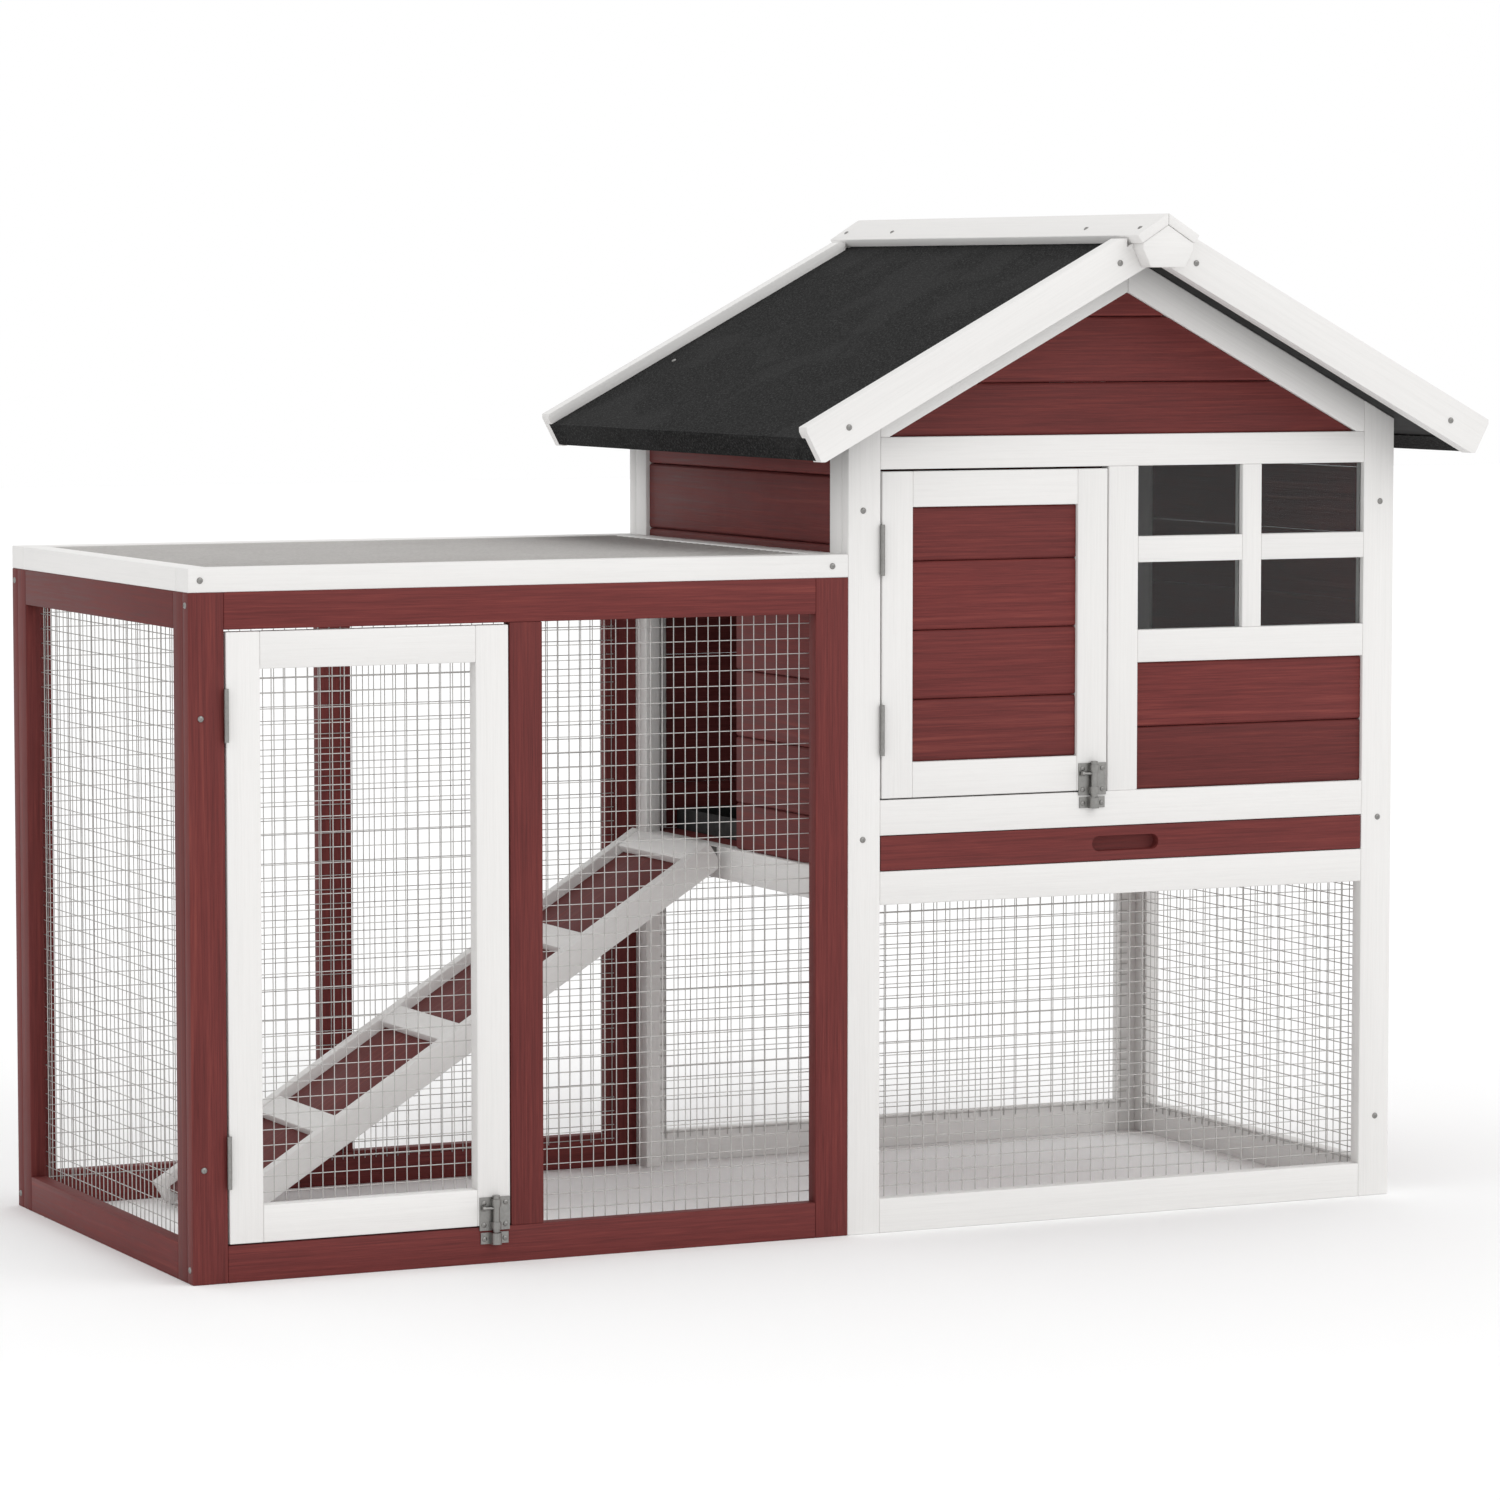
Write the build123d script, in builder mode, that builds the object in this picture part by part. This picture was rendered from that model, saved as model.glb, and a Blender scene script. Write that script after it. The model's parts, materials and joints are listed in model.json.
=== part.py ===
"""Two-storey rabbit hutch with a wire run, in millimetres.

The origin is at the middle of the footprint, on the ground. X runs along the
front, from the run on the left to the house on the right, Y runs from the
front to the back and Z is up. Every wall is a panel of battens: full-height
stiles with rails between them. End and side panels stand between the front
and back panels, and welded wire is stapled to the inner faces.
"""
import os
from math import atan2, cos, radians, sin, tan

from build123d import *

os.makedirs("parts", exist_ok=True)

# ---- overall sizes ---------------------------------------------------------
run_length = 680.0
house_width = 618.0
frame_depth = 526.0
run_height = 648.0
eave_reach = 74.2          # roof past the house's side, measured level
gable_reach = 61.0         # bargeboard's outer face past the front or back
roof_pitch = radians(28.1)
corner_height = 796.5      # roof's underside over the house's outer side

# ---- timber ----------------------------------------------------------------
batten = 35.0              # width of stiles and rails
slim = 33.5                # width of door frames and middle posts
timber = 16.0              # thickness of every wall panel
side_stile = 26.0          # visible width of the stiles in end and side panels
rafter = 32.0
lining = 8.0               # thickness of the tongued boards
lining_setback = 4.0       # boards' face behind the frame's face
board_pitch = 68.0
board_gap = 0.4
gable_first_board = 52.0
gable_board = 65.0
gable_board_count = 9      # joints drawn, more than the gable is tall
joint_reach = 8            # joints drawn to either side of a known one
door_board_joint = 594.0   # height of one joint in the house door's boards
panel_board_joint = 491.0  # the same under the window
board_chamfer = 2.0

# ---- wire ------------------------------------------------------------------
mesh_pitch = 38.1
mesh_wire = 1.6
mesh_thickness = 1.2
mesh_lap = 8.0             # how far the wire laps onto the timber

# ---- run, lid and door -----------------------------------------------------
lid_thickness = 22.5
lid_rebate = 2.7
hinge_gap = 1.8
latch_gap = 1.6
door_top_gap = 2.2
door_bottom_gap = 1.5
door_proud = 0.3
run_door_width = 284.0

# ---- house openings, heights above the ground ------------------------------
bottom_rail = 34.0
deck_rail_bottom = 325.0
deck_rail_top = 358.0
sill_bottom = 393.5
sill_top = 428.3
gable_rail_bottom = 752.5
gable_rail_top = 784.0
window_rail_bottom = 556.0
window_rail_top = 588.5
side_top_rail = 761.5
doorway_top = 609.8
doorway_width = 216.0
house_door_width = 250.0
muntin_width = 22.0
muntin_height = 26.0
muntin_bottom = 656.0
pane_thickness = 2.0
pane_setback = 7.0

# ---- floor and tray --------------------------------------------------------
deck_thickness = 6.0
ledger = 18.0
tray_gap = 0.7
tray_board = 15.0
pan_height = 22.0
pan_sheet = 1.2
pan_side_gap = 5.0
pan_back_gap = 14.0
handle_width = 75.0
handle_height = 15.0
handle_depth = 11.0        # the slot is blind, with red wood behind it

# ---- roof ------------------------------------------------------------------
roof_board = 22.0
felt = 1.4
barge_width = 39.0
barge_thickness = 18.0
barge_lift = 11.0          # bargeboard's top above the felt, square to the slope
barge_rebate = 7.0
barge_seat_drop = 10.6     # level cut under the ridge cap, below the felt's ridge
felt_turn = 30.0
cap_steeper = radians(3.9)  # cap's slope over the roof's, so that its edges bear
cap_width = 41.0
cap_thickness = 9.6
plate_thickness = 20.0
plate_height = 41.5
plate_foot = 38.0          # width along its bottom edge
plate_width = 56.0         # width across its shoulders
plate_shoulder = 6.0       # height of its plumb shoulders
barge_clip = 4.0           # trimmed corners
cap_overhang = 1.0         # cap past the ridge plate
joint_gap = 0.3
overcut = 1.0              # how far a cut runs past the piece that it cuts

# ---- ramp ------------------------------------------------------------------
ramp_width = 194.0
ramp_wall_gap = 11.0
ramp_end_drop = 21.0       # ramp's lower top corner below the deck rail's top
ramp_reach = 530.0
ramp_rail_width = 28.0
ramp_rail_thickness = 15.0
ramp_deck_thickness = 6.0
ramp_batten = 27.5
ramp_batten_thickness = 9.0
ramp_batten_pitch = 159.0
ramp_battens_count = 4
ramp_pin = 4.0
ramp_pin_spacing = 120.0
ramp_foot_gap = 0.2        # ramp's foot above the ground
ramp_crown = 6.0           # rails past the ramp's lower top corner
ramp_deck_recess = 1.5     # battens' faces below the rails' edges
ramp_deck_foot = 8.0
ramp_deck_head = 4.0
ramp_top_batten = 1.0      # top batten's edge from the rails' ends
ramp_pin_wall_gap = 1.5
ramp_pin_end = 0.5         # pin's ends past its cheeks
ramp_pin_drop = 6.0        # pins below the deck rail's top
hook_wall = 1.8
hook_strip = 1.6
hook_width = 10.0
hook_lap = 30.0            # how far a hook's strip lies under the deck
hook_neck = 0.6
hook_throat = 0.4
hanger_plate = 1.2
hanger_plate_width = 18.0
hanger_plate_foot = 8.0    # plate's lower edge above the deck rail's
hanger_plate_head = 1.0
hanger_cheek = 2.0
hanger_cheek_gap = 11.0    # between the two cheeks of one hanger
hanger_cheek_height = 6.0
hanger_cheek_nose = 1.0    # cheek past the pin

# ---- hardware --------------------------------------------------------------
hinge_height = 50.0
hinge_inset = 77.5         # from a run door's end to its hinge's middle
house_hinge_low = 67.5     # the same for the house door
house_hinge_high = 76.5
knuckle = 2.3
hinge_pin = 1.0
hinge_leaf = 0.8
hinge_leaf_depth = 13.0
hinge_leaf_step = 0.4      # leaf's start behind its knuckle
knuckle_gap = 0.2
knuckle_standoff = 0.3     # knuckle's clearance in front of the door
running_clearance = 0.06
bolt_diameter = 7.0
bolt_plate_width = 31.0
bolt_plate_height = 32.0
bolt_plate_drop = 4.5
plate_sheet = 1.2
bolt_plate_inset = 1.0     # backplate's side edge inside the door's
bolt_rise = 2.0            # bolt's end above the backplate
guide_inset = 5.0          # guides' middles from the backplate's ends
guide_height = 7.0
knob_reach = 8.0           # knob's stem past the bolt's side
knob_stem = 1.5
knob_ball = 2.4
knob_ball_length = 2.5
knob_rise = 5.8            # knob's stem above the backplate's middle
keeper_height = 11.0
keeper_drop = 2.0          # gap between the backplate and the keeper
keeper_width = 28.5
keeper_clearance = 0.5
screw_head = 6.2
screw_rise = 0.28          # dome's height over its width
barge_screw_inset = 41.5
felt_screw_run = 276.0     # along the slope from the ridge
felt_screw_reach = 6.5     # past the frame's front or back
cap_screw_run = 23.0       # cap's screws from the ridge, measured level
cap_screw_insets = (17.0, 128.0)
barge_screw_rise = 17.55   # above the bargeboard's lower edge
small_head = 5.2
run_screw_inset = 11.7
run_screw_heights = (108.0, 530.7)
end_screw_low = 13.7       # end panel's screws above the ground
end_screw_drop = 12.0      # and below the run's top
lid_screw_left = 11.8
lid_screw_right = 17.2
house_screw_heights = (82.2, 390.3, 712.7)
plate_screw_inset = 5.5
plate_screw_spread = 11.2
keeper_screw_spread = 10.6
keeper_screw_drop = 6.2

# ---- places worked out from the sizes --------------------------------------
overall_length = run_length + house_width + eave_reach
run_x0 = -overall_length / 2
run_x1 = run_x0 + run_length
house_x0 = run_x1
house_x1 = house_x0 + house_width
ridge_x = (house_x0 + house_x1) / 2
front = -frame_depth / 2
back = frame_depth / 2
inner_front = front + timber
inner_back = back - timber
lid_top = run_height + lid_thickness
run_rail = run_height - batten
house_left = house_x0 + batten     # inner edges of the house's outer stiles
house_right = house_x1 - batten
door_front = front - door_proud
post_x0 = run_x0 + batten + hinge_gap + run_door_width + latch_gap
post_x1 = post_x0 + slim
mid_x0 = house_left + hinge_gap + house_door_width + latch_gap
mid_x1 = mid_x0 + slim
doorway_y1 = inner_back - side_stile
doorway_y0 = doorway_y1 - doorway_width
roof_underside_top = corner_height + house_width / 2 * tan(roof_pitch)


def roof_underside(x):
    """Height of the roof's underside at x."""
    return roof_underside_top - abs(x - ridge_x) * tan(roof_pitch)


def square(distance):
    """Vertical height of a distance measured square to the roof."""
    return distance / cos(roof_pitch)


felt_top = roof_underside_top + square(roof_board + felt)
barge_top = felt_top + square(barge_lift)
barge_seat = felt_top - barge_seat_drop
side_panel_top = roof_underside(house_x0)
cap_pitch = roof_pitch + cap_steeper


def board(x, y, z, mode=Mode.ADD):
    """A square-edged board between two x, two y and two z."""
    with Locations(((x[0] + x[1]) / 2, (y[0] + y[1]) / 2, (z[0] + z[1]) / 2)):
        Box(x[1] - x[0], y[1] - y[0], z[1] - z[0], mode=mode)


def prism_y(points, y0, y1, mode=Mode.ADD):
    """A solid of (x, z) outline between two y."""
    with BuildSketch(Plane.XZ.offset(-y1)) as outline:
        with BuildLine():
            Polyline(*points, close=True)
        make_face()
    extrude(outline.sketch, amount=y1 - y0, mode=mode)


def prism_x(points, x0, x1, mode=Mode.ADD):
    """A solid of (y, z) outline between two x."""
    with BuildSketch(Plane.YZ.offset(x0)) as outline:
        with BuildLine():
            Polyline(*points, close=True)
        make_face()
    extrude(outline.sketch, amount=x1 - x0, mode=mode)


def board_section(outer, inner, z0, z1):
    """A tongued board's section, its outer long edges chamfered."""
    step = board_chamfer if inner > outer else -board_chamfer
    return [
        (outer, z0 + board_chamfer),
        (outer, z1 - board_chamfer),
        (outer + step, z1),
        (inner, z1),
        (inner, z0),
        (outer + step, z0),
    ]


def board_rows(z0, z1, joints):
    """Pairs of heights for boards between z0 and z1, parted at the joints."""
    levels = [z0] + [z for z in joints if z0 < z < z1] + [z1]
    rows = []
    for low, high in zip(levels[:-1], levels[1:]):
        bottom = low if low == z0 else low + board_gap / 2
        top = high if high == z1 else high - board_gap / 2
        rows.append((bottom, top))
    return rows


def joints_through(z):
    """Every board joint in line with one at z, one board's pitch apart."""
    return [z + board_pitch * step for step in range(-joint_reach, joint_reach + 1)]


def wire_sheet(plane, width, height):
    """A flat welded sheet on a plane through its middle."""
    columns = int((width - mesh_wire) // mesh_pitch)
    rows = int((height - mesh_wire) // mesh_pitch)
    with BuildSketch(plane) as sheet:
        Rectangle(width, height)
        with GridLocations(width / (columns + 1), height / (rows + 1), columns + 1, rows + 1):
            Rectangle(
                width / (columns + 1) - mesh_wire,
                height / (rows + 1) - mesh_wire,
                mode=Mode.SUBTRACT,
            )
    extrude(sheet.sketch, amount=mesh_thickness)


def wire_facing_y(x, z, y):
    """Wire between two x and two z openings, its front on y."""
    width = x[1] - x[0] + 2 * mesh_lap
    height = z[1] - z[0] + 2 * mesh_lap
    middle = ((x[0] + x[1]) / 2, y + mesh_thickness, (z[0] + z[1]) / 2)
    wire_sheet(Plane(origin=middle, x_dir=(1, 0, 0), z_dir=(0, -1, 0)), width, height)


def wire_facing_x(y, z, x):
    """Wire between two y and two z openings, its low side on x."""
    width = y[1] - y[0] + 2 * mesh_lap
    height = z[1] - z[0] + 2 * mesh_lap
    middle = (x, (y[0] + y[1]) / 2, (z[0] + z[1]) / 2)
    wire_sheet(Plane(origin=middle, x_dir=(0, 1, 0), z_dir=(1, 0, 0)), width, height)


def finish(builder, name):
    """Label a finished piece and write it."""
    builder.part.label = name
    export_step(builder.part, f"parts/{name}.step")


# ---- run: front and back panels ------------------------------------------------------
back_post_x = run_x0 + (run_length - batten) / 2
with BuildPart() as run_corner_stiles:
    for y in ((front, inner_front), (inner_back, back)):
        for x in (run_x0, run_x1 - batten):
            board((x, x + batten), y, (0, run_height))
finish(run_corner_stiles, "run_corner_stiles")

with BuildPart() as run_long_rails:
    for y in ((front, inner_front), (inner_back, back)):
        for z in (0, run_rail):
            board((run_x0 + batten, run_x1 - batten), y, (z, z + batten))
finish(run_long_rails, "run_long_rails")

with BuildPart() as run_middle_posts:
    board((post_x0, post_x1), (front, inner_front), (batten, run_rail))
    board((back_post_x, back_post_x + batten), (inner_back, back), (batten, run_rail))
finish(run_middle_posts, "run_middle_posts")

with BuildPart() as run_front_wire:
    wire_facing_y((post_x1, run_x1 - batten), (batten, run_rail), inner_front)
finish(run_front_wire, "run_front_wire")

# ---- run: end panel --------------------------------------------------------
with BuildPart() as run_end_stiles:
    for y in (inner_front, inner_back - side_stile):
        board((run_x0, run_x0 + timber), (y, y + side_stile), (0, run_height))
finish(run_end_stiles, "run_end_stiles")

end_rail_y = (inner_front + side_stile, inner_back - side_stile)
with BuildPart() as run_end_rails:
    for z in (0, run_rail):
        board((run_x0, run_x0 + timber), end_rail_y, (z, z + batten))
finish(run_end_rails, "run_end_rails")

with BuildPart() as run_end_wire:
    wire_facing_x(end_rail_y, (batten, run_rail), run_x0 + timber)
finish(run_end_wire, "run_end_wire")

with BuildPart() as run_back_wire:
    wire_facing_y(
        (run_x0 + batten, run_x1 - batten), (batten, run_rail), inner_back - mesh_thickness
    )
finish(run_back_wire, "run_back_wire")

# ---- lid over the run ------------------------------------------------------
lid_x = (run_x0 + batten, run_x1 - batten)
lid_y = (front + batten, back - batten)
rebate_x = (lid_x[0] - mesh_lap, lid_x[1] + mesh_lap)
rebate_y = (lid_y[0] - mesh_lap, lid_y[1] + mesh_lap)
with BuildPart() as lid_long_boards:
    for y in (front, back - batten):
        board((run_x0, run_x1), (y, y + batten), (run_height, lid_top))
    board(rebate_x, rebate_y, (lid_top - lid_rebate, lid_top), mode=Mode.SUBTRACT)
finish(lid_long_boards, "lid_long_boards")

with BuildPart() as lid_short_boards:
    for x in (run_x0, run_x1 - batten):
        board((x, x + batten), lid_y, (run_height, lid_top))
    board(rebate_x, rebate_y, (lid_top - lid_rebate, lid_top), mode=Mode.SUBTRACT)
finish(lid_short_boards, "lid_short_boards")

with BuildPart() as lid_wire:
    wire_sheet(
        Plane(origin=((lid_x[0] + lid_x[1]) / 2, 0, lid_top - lid_rebate)),
        rebate_x[1] - rebate_x[0],
        rebate_y[1] - rebate_y[0],
    )
finish(lid_wire, "lid_wire")


# ---- doors -----------------------------------------------------------------
class Door:
    """Where a door's edges lie, and the opening's left edge."""

    def __init__(self, jamb, width, z0, z1):
        self.jamb = jamb
        self.x0 = jamb + hinge_gap
        self.x1 = self.x0 + width
        self.z0 = z0 + door_bottom_gap
        self.z1 = z1 - door_top_gap
        self.axis_x = jamb + hinge_gap / 2
        self.axis_y = door_front - knuckle_standoff - knuckle
        self.hinges = (self.z0 + hinge_inset, self.z1 - hinge_inset)
        self.bolt_x = self.x1 - bolt_plate_width / 2 - bolt_plate_inset
        self.plate_z = self.z0 - bolt_plate_drop
        self.keeper_z = self.plate_z - keeper_drop


run_door = Door(run_x0 + batten, run_door_width, batten, run_rail)
house_door = Door(house_left, house_door_width, sill_top, gable_rail_bottom)
house_door.hinges = (house_door.z0 + house_hinge_low, house_door.z1 - house_hinge_high)
bolt_y = door_front - plate_sheet - keeper_clearance / 2 - bolt_diameter / 2
door_depth = (door_front, door_front + timber)


def door_stiles(door):
    """The two upright sides of a door."""
    for x in (door.x0, door.x1 - slim):
        board((x, x + slim), door_depth, (door.z0, door.z1))


def door_rails(door):
    """The rails between a door's stiles."""
    for z in (door.z0, door.z1 - batten):
        board((door.x0 + slim, door.x1 - slim), door_depth, (z, z + batten))


def knuckle_heights(z, moving):
    """Heights of a hinge's knuckles: the middle one moves."""
    third = hinge_height / 3
    bottom = z - hinge_height / 2
    if moving:
        return [(bottom + third + knuckle_gap, bottom + 2 * third - knuckle_gap)]
    return [(bottom, bottom + third), (bottom + 2 * third, bottom + hinge_height)]


def hinge_half(door, z, moving):
    """One leaf of a butt hinge, with its knuckles bored for the pin."""
    if moving:
        leaf_x = (door.x0 - hinge_leaf, door.x0)
        bore = hinge_pin + running_clearance
    else:
        leaf_x = (door.jamb, door.jamb + hinge_leaf)
        bore = hinge_pin
    leaf_front = door.axis_y + knuckle + hinge_leaf_step
    board(
        leaf_x,
        (leaf_front, leaf_front + hinge_leaf_depth),
        (z - hinge_height / 2, z + hinge_height / 2),
    )
    for low, high in knuckle_heights(z, moving):
        board(leaf_x, (door.axis_y, leaf_front), (low, high))
        with Locations((door.axis_x, door.axis_y, (low + high) / 2)):
            Cylinder(knuckle, high - low)
            Cylinder(bore, high - low, mode=Mode.SUBTRACT)


def bolt_plate(door):
    """The bolt's backplate with a half-round guide across it."""
    middle_z = door.plate_z + bolt_plate_height / 2
    board(
        (door.bolt_x - bolt_plate_width / 2, door.bolt_x + bolt_plate_width / 2),
        (door_front - plate_sheet, door_front),
        (door.plate_z, door.plate_z + bolt_plate_height),
    )
    guide = bolt_diameter / 2 + running_clearance + plate_sheet
    for z in (door.plate_z + guide_inset, door.plate_z + bolt_plate_height - guide_inset):
        board(
            (door.bolt_x - guide, door.bolt_x + guide),
            (bolt_y, door_front - plate_sheet),
            (z - guide_height / 2, z + guide_height / 2),
        )
        with Locations((door.bolt_x, bolt_y, z)):
            Cylinder(guide, guide_height)
    with Locations((door.bolt_x, bolt_y, middle_z)):
        Cylinder(
            bolt_diameter / 2 + running_clearance, bolt_plate_height * 2, mode=Mode.SUBTRACT
        )


def bolt(door):
    """The sliding bolt with its side knob, drawn clear of the keeper."""
    low = door.keeper_z + keeper_clearance
    high = door.plate_z + bolt_plate_height + bolt_rise
    with Locations((door.bolt_x, bolt_y, (low + high) / 2)):
        Cylinder(bolt_diameter / 2, high - low)
    arm = bolt_diameter / 2 + knob_reach
    knob_plane = Plane(
        origin=(door.bolt_x, bolt_y, door.plate_z + bolt_plate_height / 2 + knob_rise),
        z_dir=(-1, 0, 0),
    )
    with BuildSketch(knob_plane) as stem:
        Circle(knob_stem)
    extrude(stem.sketch, amount=arm)
    with BuildSketch(knob_plane.offset(arm)) as ball:
        Circle(knob_ball)
    extrude(ball.sketch, amount=knob_ball_length)


def keeper(door):
    """The strap that the bolt drops into."""
    low = door.keeper_z - keeper_height
    middle_z = (low + door.keeper_z) / 2
    for side in (-1, 1):
        inner = bolt_diameter / 2 + keeper_clearance
        outer = keeper_width / 2
        ends = sorted((door.bolt_x + side * inner, door.bolt_x + side * outer))
        board(ends, (front - plate_sheet, front), (low, door.keeper_z))
    strap = bolt_diameter / 2 + keeper_clearance + plate_sheet
    board(
        (door.bolt_x - strap, door.bolt_x + strap), (bolt_y, front), (low, door.keeper_z)
    )
    with Locations((door.bolt_x, bolt_y, middle_z)):
        Cylinder(strap, keeper_height)
        Cylinder(
            bolt_diameter / 2 + keeper_clearance, keeper_height * 2, mode=Mode.SUBTRACT
        )
    bore = bolt_diameter / 2 + keeper_clearance
    board(
        (door.bolt_x - bore, door.bolt_x + bore),
        (bolt_y, front),
        (low - overcut, door.keeper_z + overcut),
        mode=Mode.SUBTRACT,
    )


with BuildPart() as run_door_stiles:
    door_stiles(run_door)
finish(run_door_stiles, "run_door_stiles")

with BuildPart() as run_door_rails:
    door_rails(run_door)
finish(run_door_rails, "run_door_rails")

with BuildPart() as run_door_wire:
    wire_facing_y(
        (run_door.x0 + slim, run_door.x1 - slim),
        (run_door.z0 + batten, run_door.z1 - batten),
        door_depth[1],
    )
finish(run_door_wire, "run_door_wire")

with BuildPart() as house_door_stiles:
    door_stiles(house_door)
finish(house_door_stiles, "house_door_stiles")

with BuildPart() as house_door_rails:
    door_rails(house_door)
finish(house_door_rails, "house_door_rails")

with BuildPart() as house_door_boards:
    panel_z = (house_door.z0 + batten, house_door.z1 - batten)
    for low, high in board_rows(*panel_z, joints_through(door_board_joint)):
        prism_x(
            board_section(
                door_front + lining_setback, door_front + lining_setback + lining, low, high
            ),
            house_door.x0 + slim,
            house_door.x1 - slim,
        )
finish(house_door_boards, "house_door_boards")

for hinged_door, door_name in ((run_door, "run_door"), (house_door, "house_door")):
    with BuildPart() as moving_leaves:
        for height in hinged_door.hinges:
            hinge_half(hinged_door, height, moving=True)
    finish(moving_leaves, f"{door_name}_hinge_leaves")
    with BuildPart() as plate:
        bolt_plate(hinged_door)
    finish(plate, f"{door_name}_bolt_plate")
    with BuildPart() as sliding_bolt:
        bolt(hinged_door)
    finish(sliding_bolt, f"{door_name}_bolt")

with BuildPart() as post_hinge_leaves:
    for hinged_door in (run_door, house_door):
        for height in hinged_door.hinges:
            hinge_half(hinged_door, height, moving=False)
finish(post_hinge_leaves, "post_hinge_leaves")

with BuildPart() as hinge_pins:
    for hinged_door in (run_door, house_door):
        for height in hinged_door.hinges:
            with Locations((hinged_door.axis_x, hinged_door.axis_y, height)):
                Cylinder(hinge_pin, hinge_height)
finish(hinge_pins, "hinge_pins")

with BuildPart() as bolt_keepers:
    keeper(run_door)
    keeper(house_door)
finish(bolt_keepers, "bolt_keepers")


# ---- house: front and back frames ------------------------------------------
def corner_stiles(y0, y1):
    """Outer stiles, cut to the roof's slope at the top."""
    for x0, x1 in ((house_x0, house_left), (house_right, house_x1)):
        prism_y(
            [(x0, 0), (x1, 0), (x1, roof_underside(x1)), (x0, roof_underside(x0))], y0, y1
        )


def rafter_outline(side):
    """One rafter from the ridge joint to the stile, over the gable rail."""
    drop = square(rafter)
    start = ridge_x + side * joint_gap / 2
    end = ridge_x + side * (house_width / 2 - batten)
    foot_run = (roof_underside_top - drop - gable_rail_top) / tan(roof_pitch)
    return [
        (start, roof_underside(start)),
        (end, roof_underside(end)),
        (end, gable_rail_top),
        (ridge_x + side * foot_run, gable_rail_top),
        (start, roof_underside(start) - drop),
    ]


with BuildPart() as house_corner_stiles:
    corner_stiles(front, inner_front)
    corner_stiles(inner_back, back)
finish(house_corner_stiles, "house_corner_stiles")

with BuildPart() as house_front_rails:
    for z0, z1 in (
        (0, bottom_rail),
        (deck_rail_bottom, deck_rail_top),
        (sill_bottom, sill_top),
        (gable_rail_bottom, gable_rail_top),
    ):
        board((house_left, house_right), (front, inner_front), (z0, z1))
    board((mid_x1, house_right), (front, inner_front), (window_rail_bottom, window_rail_top))
finish(house_front_rails, "house_front_rails")

with BuildPart() as house_back_rails:
    for z0, z1 in (
        (0, bottom_rail),
        (deck_rail_bottom, deck_rail_top),
        (gable_rail_bottom, gable_rail_top),
    ):
        board((house_left, house_right), (inner_back, back), (z0, z1))
finish(house_back_rails, "house_back_rails")

with BuildPart() as house_middle_stile:
    board((mid_x0, mid_x1), (front, inner_front), (sill_top, gable_rail_bottom))
finish(house_middle_stile, "house_middle_stile")

with BuildPart() as gable_rafters:
    for y0, y1 in ((front, inner_front), (inner_back, back)):
        for side in (-1, 1):
            prism_y(rafter_outline(side), y0, y1)
finish(gable_rafters, "gable_rafters")

gable_half = (roof_underside_top - square(rafter) - gable_rail_top) / tan(roof_pitch)
gable_peak = roof_underside_top - square(rafter)
gable_joints = [gable_rail_top + gable_first_board + gable_board * step for step in range(gable_board_count)]
with BuildPart() as gable_boards:
    for outer, inner in (
        (front + lining_setback, front + lining_setback + lining),
        (back - lining_setback, back - lining_setback - lining),
    ):
        for low, high in board_rows(gable_rail_top, gable_peak, gable_joints):
            prism_x(
                board_section(outer, inner, low, high), ridge_x - gable_half, ridge_x + gable_half
            )
    prism_y(
        [(ridge_x - gable_half, gable_rail_top), (ridge_x + gable_half, gable_rail_top),
         (ridge_x, gable_peak)],
        front, back, mode=Mode.INTERSECT,
    )
finish(gable_boards, "gable_boards")

with BuildPart() as front_panel_boards:
    for low, high in board_rows(sill_top, window_rail_bottom, (panel_board_joint,)):
        prism_x(
            board_section(front + lining_setback, front + lining_setback + lining, low, high),
            mid_x1, house_right,
        )
finish(front_panel_boards, "front_panel_boards")

house_wire_z = (bottom_rail, deck_rail_bottom)
with BuildPart() as house_front_wire:
    wire_facing_y((house_left, house_right), house_wire_z, inner_front)
finish(house_front_wire, "house_front_wire")

with BuildPart() as house_back_wire:
    wire_facing_y((house_left, house_right), house_wire_z, inner_back - mesh_thickness)
finish(house_back_wire, "house_back_wire")

# ---- window ----------------------------------------------------------------
window_x = (mid_x1, house_right)
window_z = (window_rail_top, gable_rail_bottom)
upright_x = (
    (window_x[0] + window_x[1] - muntin_width) / 2,
    (window_x[0] + window_x[1] + muntin_width) / 2,
)
cross_z = (muntin_bottom, muntin_bottom + muntin_height)
with BuildPart() as window_upright:
    board(upright_x, (front, inner_front), window_z)
finish(window_upright, "window_upright")

with BuildPart() as window_crossbars:
    for x in ((window_x[0], upright_x[0]), (upright_x[1], window_x[1])):
        board(x, (front, inner_front), cross_z)
finish(window_crossbars, "window_crossbars")

with BuildPart() as window_panes:
    for x in ((window_x[0], upright_x[0]), (upright_x[1], window_x[1])):
        for z in ((window_z[0], cross_z[0]), (cross_z[1], window_z[1])):
            board(x, (front + pane_setback, front + pane_setback + pane_thickness), z)
finish(window_panes, "window_panes")

# ---- house: side panels ----------------------------------------------------
side_y = (inner_front + side_stile, inner_back - side_stile)


def side_stiles(x0):
    """The two stiles of a side panel."""
    for y in (inner_front, inner_back - side_stile):
        board((x0, x0 + timber), (y, y + side_stile), (0, side_panel_top))


with BuildPart() as house_side_stiles:
    side_stiles(house_x0)
    side_stiles(house_x1 - timber)
finish(house_side_stiles, "house_side_stiles")

with BuildPart() as house_side_rails:
    for x in (house_x0, house_x1 - timber):
        for z in ((deck_rail_bottom, deck_rail_top), (side_top_rail, side_panel_top)):
            board((x, x + timber), side_y, z)
    board((house_x1 - timber, house_x1), side_y, (0, bottom_rail))
finish(house_side_rails, "house_side_rails")

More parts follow.
